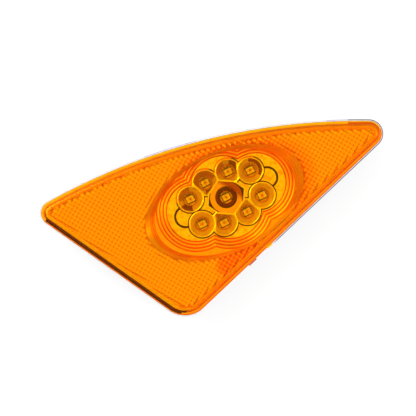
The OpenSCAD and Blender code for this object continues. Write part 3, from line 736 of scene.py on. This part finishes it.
# %% Sizes of the reflector
UPPER_ROW = [(-14.4, 6.0), (-5.5, 9.6), (5.5, 9.6), (14.4, 6.0)]
CUPS = UPPER_ROW + [(u, -v) for u, v in UPPER_ROW[::-1]]
ALL_CUPS = [*CUPS, (0.0, 0.0)]
INNER, OUTER = UPPER_ROW[2:]
CUP_R, MID_R, MID_EDGE, HOLE_R, CUP_WALL = 5.2, 4.4, 4.8, 2.65, 0.6
BOARD_TOP, FLOOR_Z, MID_RIM_Z, RIM_Z, PLATE_Z = 16.0, 20.0, 19.3, 20.9, 26.0
RECESS, RIDGE = 6.7, 0.7
RECESS_END, RECESS_DARK, FOOT_R, SHEEN_IN, SHADE_IN = 7.36, 7.0, 3.3, 3.5, 4.1
RECESS_SIDES = [(30, RECESS_END), (60, RECESS), (120, RECESS), (150, RECESS_END)]
RECESS_SIDES += [(a + 180, d) for a, d in RECESS_SIDES]
LOBES = [(-14.4, 0, 12.7), (14.4, 0, 12.7), (0, 3.2, 14.8), (0, -3.2, 14.8)]
STEP_H, STEP_W, STEPS = 0.75, 1.43, 4
PADS, PAD_R, GROOVE = [(-19.6, 0), (19.6, 0)], 4.1, 0.7
RISER_IN, RISER_WALL = 3.6, 1.6
DISH_LINES = [(0, 0.07), (0.19, 0.27), (0.42, 0.48)]
DISH_A, DISH_B, DISH_H, DISH_LIP = 4.2, 1.2, 3.0, 0.04
FOOT_A, FOOT_B = WINDOW_A - DISH_A, WINDOW_B - DISH_B
DRAFTED, LIP, CAMBER, CUP_GROOVE, RISER = 0.12, 0.14, 0.2, 0.4, 0.48
BOWL_FOOT, DROP = 0.3, 3.0
CRINKLE, CRINKLE_H, CRINKLE_IN = 1.4, 0.1, 0.4
TOUCH = 1e-6
print("cups:", len(ALL_CUPS), "terraces:", STEPS)


# %% Distances that the reflector's shape is made of
def rise(x, start, width=DRAFTED):
    """0 before start and 1 after it, with a drafted wall of some width between."""
    return np.clip((x - start) / width, 0, 1)


def from_nearest(u, v, places):
    return np.minimum.reduce([np.hypot(u - a, v - b) for a, b in places])


def dish_oval(share):
    return oval(FOOT_A + DISH_A * share, FOOT_B + DISH_B * share)


def dish_share(p, q):
    """0 at the foot of the oval wall and 1 at its top, for points in the window's axes."""

    def beyond(share):
        a, b = FOOT_A + DISH_A * share, FOOT_B + DISH_B * share
        return (p / a) ** 2 + (q / b) ** 2 > 1

    return last_true(beyond, len(p), -6.0, 5.0, 40)


print("foot of the oval wall, mm:", 2 * FOOT_A, "by", 2 * FOOT_B)


# %% The recess and the ridges between the inner cups
def recess_room(u, v):
    """Distance in from the nearest side of the recess, less than 0 outside it."""
    return np.minimum.reduce([d - (u * unit(a)[0] + v * unit(a)[1]) for a, d in RECESS_SIDES])


def recess_ring(inset):
    corners = []
    for (a, d), (b, e) in zip(RECESS_SIDES, RECESS_SIDES[1:] + RECESS_SIDES[:1]):
        corners.append(np.linalg.solve((unit(a), unit(b)), (d - inset, e - inset)))
    return out_of(*np.array(corners).T, cups_o)


def cell_cuts(u, v):
    """Directions and distances of the ridges that cut an inner cup."""
    to_end = np.array((math.copysign(OUTER[0], u), math.copysign(OUTER[1], v))) - (u, v)
    to_mid = -np.array((u, v))
    far_end, far_mid = np.hypot(*to_end), np.hypot(*to_mid)
    return [
        (to_end / far_end, far_end - CUP_R - RIDGE),
        (to_mid / far_mid, far_mid - RECESS - RIDGE),
        (np.array((-math.copysign(1, u), 0.0)), INNER[0] - RIDGE / 2),
    ]


print("an inner cup is cut at, mm:", [round(float(d), 2) for _, d in cell_cuts(*INNER)])


# %% Heights of the terraces, the bowls and the pads
def terraces(u, v):
    away = np.minimum.reduce([np.hypot(u - a, v - b) - r for a, b, r in LOBES])
    z = np.full(len(u), FLOOR_Z)
    for k in range(STEPS):
        z += STEP_H * rise(away, k * STEP_W, RISER)
        tread = np.clip((away - k * STEP_W - RISER) / (STEP_W - RISER), 0, 1)
        z += CAMBER * 4 * tread * (1 - tread) * (k < STEPS - 1)
    return z


def bowl(r, depth, mouth):
    share = (r * r - HOLE_R**2) / (mouth**2 - HOLE_R**2)
    return BOARD_TOP + BOWL_FOOT + (depth - BOWL_FOOT) * share


def pads_and_grooves(z, u, v):
    """Lowers the grooves round the pads and the cups, and crinkles the pads a little."""
    for a, b in PADS:
        r = np.hypot(u - a, v - b)
        z = z - GROOVE * rise(r, PAD_R - DRAFTED) * (1 - rise(r, PAD_R + GROOVE))
        spots = [(x * CRINKLE, y * CRINKLE, a) for x, y in zip(u, v)]
        z += np.array([CRINKLE_H * noise.noise(s) for s in spots]) * (r < PAD_R - CRINKLE_IN)
    away = from_nearest(u, v, CUPS) - CUP_R - CUP_WALL
    return z - CUP_GROOVE * (1 - rise(away, CUP_GROOVE))


print("bowls rise, mm:", round(RIM_Z - BOARD_TOP - BOWL_FOOT, 2))


# %% The height of the reflector at any point
def raised_lip(r):
    """The height of the lip round a cup, and 0 away from it."""
    half = CUP_WALL / 2
    lip = LIP * np.clip(1 - ((r - CUP_R - half) / half) ** 2, 0, 1)
    top = RIM_Z + lip - DROP * rise(r, CUP_R + CUP_WALL)
    return np.where(r < CUP_R + CUP_WALL + DRAFTED, top, 0)


def reflector_height(flat):
    u, v = into(flat, cups_o)
    z = pads_and_grooves(terraces(u, v), u, v)
    share = dish_share(*into(flat, window_o))
    wall = STEPS * STEP_H + FLOOR_Z + DISH_H * np.clip(share, 0, 1)
    plumb = np.clip((share + DISH_LIP) / DISH_LIP, 0, 1)
    z = np.where(share > -DISH_LIP, z + (wall - z) * plumb, z)
    room = recess_room(u, v)
    z = np.maximum(z, RIM_Z - DROP * rise(-room, CUP_WALL))
    for a, b in CUPS:
        z = np.maximum(z, raised_lip(np.hypot(u - a, v - b)))
    for a, b in CUPS:
        r = np.hypot(u - a, v - b)
        cup = bowl(np.maximum(r, HOLE_R), RIM_Z - BOARD_TOP, CUP_R)
        if abs(a) == INNER[0]:
            cuts = [d - ((u - a) * n[0] + (v - b) * n[1]) for n, d in cell_cuts(a, b)]
            cell = np.minimum.reduce(cuts)
            cup = RIM_Z + (cup - RIM_Z) * rise(cell, 0)
            z = np.where((r < CUP_R + TOUCH) & (cell > -TOUCH), np.minimum(z, cup), z)
        else:
            z = np.where(r < CUP_R + TOUCH, cup, z)
    z = np.where(room > 0, RIM_Z + (MID_RIM_Z - RIM_Z) * rise(room, 0), z)
    from_middle = np.hypot(u, v)
    cup = bowl(np.maximum(from_middle, HOLE_R), MID_RIM_Z - BOARD_TOP, MID_R)
    z = np.where(from_middle < MID_R + TOUCH, cup, z)
    riser = ~inside(flat, outline(RISER_IN + RISER_WALL - DRAFTED / 2))
    return np.where(riser, PLATE_Z, z)


print("foot of the middle cup, mm:", reflector_height(np.array([cups_o])).round(2))


# %% The feature lines of the reflector
def feature_lines():
    """Closed lines along every edge. Those at bare numbers only make the mesh finer."""
    rows = [outline(RISER_IN + RISER_WALL), outline(RISER_IN + RISER_WALL - DRAFTED)]
    rows += [dish_oval(share) for share in (-DISH_LIP, *np.ravel(DISH_LINES), 0.65, 0.82, 1)]
    for a, b, r in LOBES:
        for k in range(STEPS):
            parts = (0, RISER, 0.7, 1.05) if k < STEPS - 1 else (0, RISER)
            rows += [circle(a, b, r + k * STEP_W + part) for part in parts]
    beside_pad = (-CRINKLE_IN, -DRAFTED, 0, GROOVE, GROOVE + DRAFTED)
    for a, b in PADS:
        rows += [circle(a, b, PAD_R + d, 64) for d in beside_pad]
    outside = [CUP_R + CUP_WALL + d for d in (0, DRAFTED, CUP_GROOVE, CUP_GROOVE + DRAFTED)]
    radii = (HOLE_R, 2.9, FOOT_R, 3.6, 3.9, 4.3, 4.6, 4.9, CUP_R, 5.35, 5.5, 5.65, *outside)
    for a, b in CUPS:
        rows += [circle(a, b, r, 72) for r in radii]
        if abs(a) == INNER[0]:
            for n, d in cell_cuts(a, b):
                side = np.array((-n[1], n[0])) * (CUP_R + 0.4)
                top, foot = n * d, n * (d - DRAFTED)
                ends = [top + side, top - side, foot - side, foot + side]
                rows.append(np.array([out_of(a + e[0], b + e[1], cups_o) for e in ends]))
    radii = (HOLE_R, 3.1, SHEEN_IN, 3.9, SHADE_IN, MID_R, MID_EDGE, RECESS_DARK)
    rows += [circle(0, 0, r, 72) for r in radii]
    rows += [recess_ring(inset) for inset in (-CUP_WALL - DRAFTED, -CUP_WALL, 0, DRAFTED, 0.5)]
    print("feature lines:", len(rows))
    return rows


# %% [markdown]
# A bright skin mirrors what is round it. Through the amber this shows as yellow flats, red walls
# between the terraces, and brown or mauve patches in the bowls that face a dark side of the room.
# Here those are painted reflections in the skins. The patches are listed by cup, by angle and by
# radius. A picture could hold them, but a list of skins stays sharp at any distance and follows
# the shapes exactly.

# %% Which skin each part of the bright face gets
# Painted reflections in the bowls: cup, first and last angle, least radius and skin
SHEEN = [
    (0, 70, 165, 2.9, bowl_mauve_reflection), (1, 5, 185, 2.9, bowl_mauve_reflection), (2, 95, 170, 2.9, bowl_mauve_reflection),
    (2, -40, 60, 3.3, bowl_brown_reflection), (3, -50, 75, 3.7, bowl_brown_reflection), (0, 195, 260, 3.0, bowl_brown_reflection),
    (6, 20, 120, 3.4, bowl_mauve_reflection), (1, 250, 300, 3.2, bowl_brown_reflection),
]
STEEP, GROOVE_IN, TRIM, TREAD_UP, MOUTH_IN, LIT_W, CORNER_IN = 0.6, 0.12, 0.02, 0.5, 0.05, 0.7, 5
# The middle and the half of the angles with painted light, painted reflection and painted shade
LIT, SHEEN_SIDE, SHADE_SIDE = (110, 60), (92, 58), (-85, 92)
print("sheen patches:", len(SHEEN))


def facing(turn, centre, half):
    """True where an angle is less than half away from a centre one."""
    return abs((turn - centre + 180) % 360 - 180) < half


def face_skins(solid):
    """A skin for each triangle of the bright face, by its place, height and slope, with painted
    reflections and painted shade by zone.
    """
    centre, height = solid[:, :, :2].mean(1), solid[:, :, 2].mean(1)
    normal = np.cross(solid[:, 1] - solid[:, 0], solid[:, 2] - solid[:, 0])
    steep = abs(normal[:, 2]) < STEEP * np.linalg.norm(normal, axis=1)
    u, v = into(centre, cups_o)
    from_middle, way = np.hypot(u, v), heading(u, v)
    skins = np.full(len(solid), floor_metal, dtype=object)
    skins[height > FLOOR_Z + TREAD_UP] = tread_metal
    # Steep walls get a painted red reflection of the amber lens.
    skins[steep] = riser_painted_reflection
    apart = np.array([np.hypot(u - a, v - b) for a, b in CUPS])
    near_cup, (cup_u, cup_v) = apart.min(0), np.array(CUPS)[apart.argmin(0)].T
    skins[near_cup < CUP_R + CUP_WALL + TRIM] = rim_metal
    room = recess_room(u, v)
    skins[(room > -CUP_WALL) & (room < TRIM)] = rim_metal
    # Sunk grooves get painted shade, and on the lit side of an upper cup a painted lit orange.
    sunk = height < FLOOR_Z - GROOVE_IN
    skins[sunk & (room < 0)] = groove_shade
    lit = (cup_v > 0) & facing(heading(u - cup_u, v - cup_v), *LIT)
    skins[sunk & lit & (near_cup < CUP_R + CUP_WALL + LIT_W)] = groove_painted_light
    for i, (a, b) in enumerate(CUPS):
        r, turn = np.hypot(u - a, v - b), heading(u - a, v - b)
        mine = (r < CUP_R - TRIM / 2) & (height < RIM_Z - MOUTH_IN)
        skins[mine] = bowl_metal
        skins[mine & (r < FOOT_R)] = bowl_foot
        # The painted reflections from SHEEN in this cup's bowl
        for cup, start, end, least, skin in SHEEN:
            if cup == i:
                skins[mine & (r > least) & ((turn - start) % 360 < end - start)] = skin
    recess = room > TRIM
    # The recess: painted shade on its right side and in its two pointed corners.
    skins[recess] = recess_metal
    skins[recess & (from_middle > RECESS_DARK) & (abs(u) > CORNER_IN)] = groove_shade
    # The middle cup: painted shade over all of it, a painted reflection near its top and a
    # painted shadow ring on its lower side.
    mine = from_middle < MID_EDGE
    skins[mine] = middle_bowl_shade
    skins[mine & (from_middle > SHEEN_IN) & facing(way, *SHEEN_SIDE)] = middle_bowl_reflection
    skins[mine & (from_middle > SHADE_IN) & facing(way, *SHADE_SIDE)] = groove_shade
    # The oval wall gets painted shade at its foot and painted red reflection lines across it.
    share = dish_share(*into(centre, window_o))
    skins[share > -DISH_LIP / 2] = dish_foot_painted_shade
    for low, high in DISH_LINES:
        skins[(share > low) & (share < high)] = dish_painted_reflection_line
    skins[share > DISH_LINES[-1][1]] = dish_metal
    skins[(height > PLATE_Z - TRIM) & (share > 1)] = field_backing
    return skins


# %% [markdown]
# The flange of the reflector stands out under the foot of the lens by less than a millimetre, as
# a bright line with painted reflections, dark at the right and lavender at the top left. On the
# long edge it carries a short red mark. The mark is a real thin bar, not a painted patch, because
# the line that it sits on is too narrow to show one.

# %% The red mark on the edge of the flange
DAB_AT, DAB_L, DAB_NEAR, DAB_FAR, DAB_Z = 87.2, 4.3, 0.42, 0.92, (19.72, 20.08)
red_mark_skin = metallised("red_mark", (0.6, 0.06, 0.02), 0.7, 0.0, specular=0.0)
print("the dab lies this far outside the drawn edge, mm:", DAB_NEAR, "to", DAB_FAR)


# %% The edge of the flange, with a painted reflection of a dark room at the right and of a pale one at the top left
DARK_TO, PALE_TO, PALE = CORNER_STEPS + 7, CORNER_STEPS + 14, range(77, 95)
print("segments of the flange's edge that are pale:", PALE_TO - DARK_TO + len(PALE))


def lip_skins():
    skins = [bright_metal] * (LONG_EDGE + 1)
    for i in (*range(DARK_TO), LONG_EDGE):
        skins[i] = lip_dark_reflection
    for i in (*range(DARK_TO, PALE_TO), *PALE):
        skins[i] = lip_lavender_reflection
    return skins


# %% The reflector: bright face, underside, riser and flange
SKIN, BOARD_GAP = 1.2, 0.15
# Loose points over the two pads, because their crinkle needs them
SPREAD, SPREAD_U, SPREAD_V, SPREAD_IN = 0.45, (-24.5, 25), (-4, 4.1), 15.6
# Inset and height of each row from the riser over the flange and back under the riser
FLANGE_ROWS = [
    (3.6, 25.6), (3.6, 20.3), (3.3, FOOT_Z), (-0.6, FOOT_Z), (-1, 19.7), (-1, 18.2),
    (-0.8, FLANGE_Z), (7.5, FLANGE_Z), (7.5, FOOT_Z), (5.2, FOOT_Z), (5.2, 25.6),
]
LIP_ROW = 3


def reflector():
    shell = Shell(bright_metal)
    across, up = np.arange(*SPREAD_U, SPREAD), np.arange(*SPREAD_V, SPREAD)
    spread = [(x, y) for x in across for y in up if abs(x) > SPREAD_IN]
    loose = out_of(*np.array(spread).T, cups_o)
    flat, triangles, _ = divide(outline(RISER_IN), feature_lines(), loose)
    u, v = into(flat[triangles].mean(1), cups_o)
    triangles = triangles[from_nearest(u, v, ALL_CUPS) >= HOLE_R]
    z = reflector_height(flat)
    n = len(shell.ring(flat, z))
    shell.ring(flat, np.maximum(z - SKIN, BOARD_TOP + BOARD_GAP))
    for triangle, skin in zip(triangles, face_skins(np.column_stack((flat, z))[triangles])):
        shell.add([triangle], skin)
    edges = {}
    for a, b, c in triangles:
        for side in ((a, b), (b, c), (c, a)):
            edges[frozenset(side)] = None if frozenset(side) in edges else side
    shell.add([(a, a + n, b + n, b) for a, b in filter(None, edges.values())])
    shell.add(triangles[:, ::-1] + n)
    rings = [shell.ring(outline(inset), height) for inset, height in FLANGE_ROWS]
    for i, (one, two) in enumerate(zip(rings, [*rings[1:], rings[0]])):
        shell.strip(one, two, lip_skins() if i == LIP_ROW else None)
    shell.skin = red_mark_skin
    bar(shell, DAB_AT, DAB_L / 2, DAB_NEAR, DAB_FAR, *DAB_Z)
    return shell.piece("reflector_moulding")


reflector_moulding = reflector()
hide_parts("reflector")

# %% [markdown]
# Each diode is a moulded package with a round window, a phosphor-free amber fill, a small
# chip with one bond wire, and two bent leads on each side. Nine of them share one recipe.

# %% Finishes of the diodes
def plain(name, colour, roughness, metallic=0.0, size=0.5, contrast=0.12, bump=0.004):
    """A moulded or plated finish: small uneven shade, uneven gloss and a fine bump."""
    paint = Paint(name)
    cloud = paint.grain(size, 4)
    dark = tuple(c * (1 - contrast) for c in colour)
    light = tuple(min(1.0, c * (1 + contrast)) for c in colour)
    shade = paint.ramp(cloud, (0.35, dark), (0.65, light))
    skin = paint.principled(
        Base_Color=shade,
        Roughness=paint.gloss(cloud, roughness),
        Metallic=metallic,
        Normal=paint.bump(paint.grain(size / 3), bump),
    )
    return paint.shows(skin)


package_white = plain("diode_package", (1.0, 0.72, 0.3), 0.35, metallic=0.5)
amber_fill = plain("diode_fill", (1.0, 0.6, 0.2), 0.25, metallic=0.5)
chip_red = plain("diode_chip", (0.5, 0.04, 0.01), 0.3)
tinned = plain("tinned_copper", (0.75, 0.75, 0.76), 0.3, metallic=1.0)
gold_wire = plain("bond_wire", (0.9, 0.7, 0.35), 0.2, metallic=1.0)
print("diode finishes are ready")

# %% Small boxes with round corners
def rounded(a, b, r, steps=4):
    points = []
    x, y = a - r, b - r
    for corner, start in (((x, y), 0), ((-x, y), 90), ((-x, -y), 180), ((x, -y), 270)):
        points += arc(np.array(corner), r, start, start + 90, steps)
    return np.array(points)


def stack(shell, rows, centre, top=None):
    """A closed solid through rows of half length, half width, corner radius and height."""
    rings = []
    for a, b, r, z in rows:
        flat = [centre + x * tilt_x + y * tilt_y for x, y in rounded(a, b, r)]
        rings.append((np.array(flat), z, None))
    first = shell.ring(*rings[0][:2])
    shell.add([first[::-1]])
    shell.add([shell.loft(first, rings[1:])], top)


def block(shell, a, b, low, high, centre, r=0.06, bevel=0.05):
    """A box of half length a and half width b with a bevelled top."""
    levels = ((0, low), (0, high - bevel), (-bevel, high))
    stack(shell, [(a + d, b + d, max(r + d, 0.02), z) for d, z in levels], centre)


print("points round a small box:", len(rounded(1, 1, 0.1)))

# %% One diode
LED_L, LED_W, LED_H = 3.5, 2.8, 1.9
MOUTH, SUNK, CORNER = 1.15, 0.25, 0.1
CHIP, CHIP_H = 0.42, 0.14
WIRE_STEPS, WIRE_FROM, WIRE_L, WIRE_UP, WIRE_DOWN = 6, 0.1, 0.7, 0.14, 0.12
# How far in from the widest part, and how high, for each ring of the body
BODY = ((0, 0), (0, 0.9), (0.08, LED_H - 0.06), (0.14, LED_H))
# Half length, place from the middle, low and high of the upright and the foot of a lead
LEADS = ((0.07, 1.68, 0.02, 0.95), (0.2, 1.5, 0.02, 0.15))


def diode(number, u, v):
    shell = Shell(package_white)
    centre = out_of(u, v, cups_o)
    half_l, half_w, floor = LED_L / 2 - 0.06, LED_W / 2, LED_H - SUNK
    rows = [(half_l - d, half_w - d, CORNER, z) for d, z in BODY]
    rows += [(r, r, r, z) for r, z in ((MOUTH, LED_H), (MOUTH - 0.1, floor))]
    stack(shell, [(a, b, r, BOARD_TOP + z) for a, b, r, z in rows], centre, amber_fill)
    floor += BOARD_TOP
    shell.skin = chip_red
    block(shell, CHIP, CHIP, floor - 0.05, floor + CHIP_H, centre, bevel=0.02)
    shell.skin = gold_wire
    for share in np.linspace(0, 1, WIRE_STEPS):
        spot = centre + tilt_x * (WIRE_FROM + WIRE_L * share)
        lift = floor + CHIP_H + WIRE_UP * math.sin(math.pi * share) - WIRE_DOWN * share
        block(shell, 0.08, 0.03, lift - 0.03, lift + 0.03, spot, r=0.02, bevel=0.01)
    shell.skin = tinned
    for side in (-1, 1):
        for row in (-1, 1):
            for a, x, low, high in LEADS:
                spot = centre + tilt_x * side * x + tilt_y * row * LED_W / 4
                block(shell, a, LED_W / 8, BOARD_TOP + low, BOARD_TOP + high, spot, bevel=0.03)
    made = shell.piece(f"diode_{number}")
    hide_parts(f"led_{number}")
    return made


for number, (u, v) in enumerate(ALL_CUPS, 1):
    diode(number, u, v)

# %% [markdown]
# The board shows only through the foot of each cup, as a small disc round the diode. The solder
# pads and the small marks beside them are thin real shapes on the board, and a thin dark sheet
# under each diode paints the shadow round its package. The marks are plain bars, so the board
# carries no words.

# %% Solder pads, marks and a painted shadow sheet on the board
solder = plain("solder", (0.42, 0.2, 0.12), 0.35, metallic=1.0, size=0.3)
mark_ink = plain("mark_ink", (0.06, 0.02, 0.02), 0.6)
# A dark sheet a little larger than each diode, a painted shadow round its package.
diode_shadow_sheet = plain("diode_shadow_sheet", (0.05, 0.015, 0.015), 0.6)

# Skin, places from the diode, half sizes, low, high, corner radius and bevel
BOARD_SHAPES = [
    (solder, [(x, y) for x in (-1.8, 1.8) for y in (-LED_W / 4, LED_W / 4)],
     (0.34, 0.48), 0.01, 0.07, 0.06, 0.03),
    (mark_ink, [((i - 1.5) * 0.58, 2.15) for i in range(4)], (0.2, 0.32), 0.01, 0.05, 0.06, 0.01),
    (mark_ink, [(2.25, i * 0.6) for i in (-1, 0, 1)], (0.22, 0.15), 0.01, 0.05, 0.06, 0.01),
    (diode_shadow_sheet, [(0, 0)], (2.08, 1.82), 0.003, 0.009, 0.2, 0.002),
]

shell = Shell(solder)
for skin, places, half, low, high, r, bevel in BOARD_SHAPES:
    shell.skin = skin
    for u, v in ALL_CUPS:
        for x, y in places:
            spot = out_of(u, v, cups_o) + x * tilt_x + y * tilt_y
            block(shell, *half, BOARD_TOP + low, BOARD_TOP + high, spot, r, bevel)
shell.piece("board_pads_and_marks")

# %% [markdown]
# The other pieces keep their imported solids. Each gets the finish of its real material, with
# a shade, a gloss and a grain that vary a little, since nothing moulded or plated is even.

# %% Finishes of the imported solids
solder_mask = plain("solder_mask", (1.0, 0.5, 0.14), 0.35, metallic=0.5, size=2.0)
black_abs = plain("black_housing", (0.03, 0.03, 0.032), 0.5, size=0.6, contrast=0.3, bump=0.02)
black_rubber = plain("rubber_seal", (0.025, 0.025, 0.025), 0.75, size=0.8, contrast=0.3)
foam = plain("closed_cell_foam", (0.05, 0.05, 0.052), 0.9, size=0.5, contrast=0.45, bump=0.08)
zinc = plain("zinc_plate", (0.72, 0.73, 0.74), 0.32, metallic=1.0, size=1.2)
brass = plain("brass", (0.78, 0.58, 0.25), 0.3, metallic=1.0, size=1.0)
epoxy = plain("black_epoxy", (0.03, 0.03, 0.033), 0.45)
aluminium = plain("aluminium_can", (0.75, 0.76, 0.78), 0.3, metallic=1.0)
breather = plain("vent_plastic", (0.06, 0.06, 0.065), 0.5, size=0.7, contrast=0.3)

FINISH = {
    "circuit_board": solder_mask, "capacitor": aluminium, "vent_plug": breather,
    "rear_housing": black_abs, "housing_seal": black_rubber, "mounting_gasket": foam,
    **dict.fromkeys(("terminal_1", "terminal_2", "terminal_3"), tinned),
    **dict.fromkeys(("resistors", "diodes", "current_driver", "surge_suppressor"), epoxy),
    **dict.fromkeys(("board_screws", "cover_screws"), zinc),
    **dict.fromkeys(("insert_left", "insert_right", "insert_low"), brass),
}
for node, finish in FINISH.items():
    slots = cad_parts[node].data.materials
    slots.clear()
    slots.append(finish)
print("finishes on packed solids:", len(FINISH))

# %% [markdown]
# The lamp lies on its flat back, and the camera looks straight down on it, rolled so that
# the lamp's length climbs to the right. A long lens far away keeps the outline true, as in
# the photograph.

# %% Camera
PIXELS, PIXEL_MM, ROLL = 416, 0.43, 15.0
DISTANCE, SENSOR = 1.3, 36.0
target = Vector((-5.33, 6.91, FACE_Z)) * MM
camera = bpy.data.objects.new("camera", bpy.data.cameras.new("camera"))
bpy.context.scene.collection.objects.link(camera)
camera.data.sensor_width = SENSOR
camera.data.lens = SENSOR * DISTANCE / (PIXELS * PIXEL_MM * MM)
camera.data.clip_end = 20
camera.location = target + Vector((0, 0, DISTANCE))
camera.rotation_euler = (0, 0, math.radians(-ROLL))
bpy.context.scene.camera = camera
print("focal length, mm:", round(camera.data.lens))

# %% [markdown]
# The floor is plain and pale. Rays that the camera sends, or that pass through the amber,
# also meet a little plain white on it, so that the background is as white as paper and the
# lamp still throws its soft shadow.

# %% Floor
GLOW_SHARE, REACH, FLOOR_DROP = 0.75, 1.5, 0.0002
paint = Paint("pale_floor")
seen = paint.node("ShaderNodeLightPath", out="Is Camera Ray")
for ray in ("Is Glossy Ray", "Is Transmission Ray"):
    seen = paint.maths("MAXIMUM", seen, paint.node("ShaderNodeLightPath", out=ray))
shade = paint.ramp(paint.grain(60), (0.3, (0.9, 0.9, 0.9)), (0.7, (0.93, 0.93, 0.93)))
card = paint.principled(Base_Color=shade, Roughness=0.9)
glow = paint.node("ShaderNodeEmission", None, {"Color": (1, 1, 1, 1), "Strength": 1.0})
parts = {0: seen * GLOW_SHARE, 1: card, 2: glow}
pale_floor = paint.shows(paint.node("ShaderNodeMixShader", None, parts))

floor_mesh = bpy.data.meshes.new("floor")
corners = [(-REACH, -REACH, 0), (REACH, -REACH, 0), (REACH, REACH, 0), (-REACH, REACH, 0)]
floor_mesh.from_pydata(corners, [], [(0, 1, 2, 3)])
floor_mesh.materials.append(pale_floor)
floor = bpy.data.objects.new("floor", floor_mesh)
floor.location.z = -FLOOR_DROP
bpy.context.scene.collection.objects.link(floor)
print("floor, m:", 2 * REACH)

# %% [markdown]
# Bright metal shows what is round it, so the light has to have a shape: a broad soft box at
# the upper left, a weaker one at the right, and a sky that is paler overhead than at the
# horizon. Together they light a surface about as its colour is written. One strong lamp would
# be simpler, but it would burn white spots into the bright metal.

# %% Lamps
# Name, place, size in metres and watts
SOFT_BOXES = [("key_box", (-0.5, 0.6, 0.9), 0.7, 9), ("fill_box", (0.9, -0.2, 0.7), 0.6, 4)]
for name, place, size, watts in SOFT_BOXES:
    light = bpy.data.lights.new(name, "AREA")
    light.shape, light.size, light.energy = "SQUARE", size, watts
    box = bpy.data.objects.new(name, light)
    box.location = place
    box.rotation_euler = (-Vector(place)).to_track_quat("-Z", "Y").to_euler()
    bpy.context.scene.collection.objects.link(box)
    print(name, "W:", watts)

# %% Sky
world = bpy.data.worlds.new("studio")
bpy.context.scene.world = world
paint = Paint("studio", world)
view = paint.node("ShaderNodeTexCoord", out="Generated")
up = paint.node("ShaderNodeSeparateXYZ", None, {0: view}, out="Z")
shade = paint.ramp(up, (0.0, (0.9, 0.9, 0.9)), (0.8, (1.15, 1.15, 1.15)))
seen = paint.node("ShaderNodeLightPath", out="Is Camera Ray")
inputs = {"Color": paint.blend(seen, shade, (1.0, 1.0, 1.0))}
paint.shows(paint.node("ShaderNodeBackground", None, inputs))
print("sky:", world.name)
bpy.context.scene.view_settings.view_transform = "Standard"
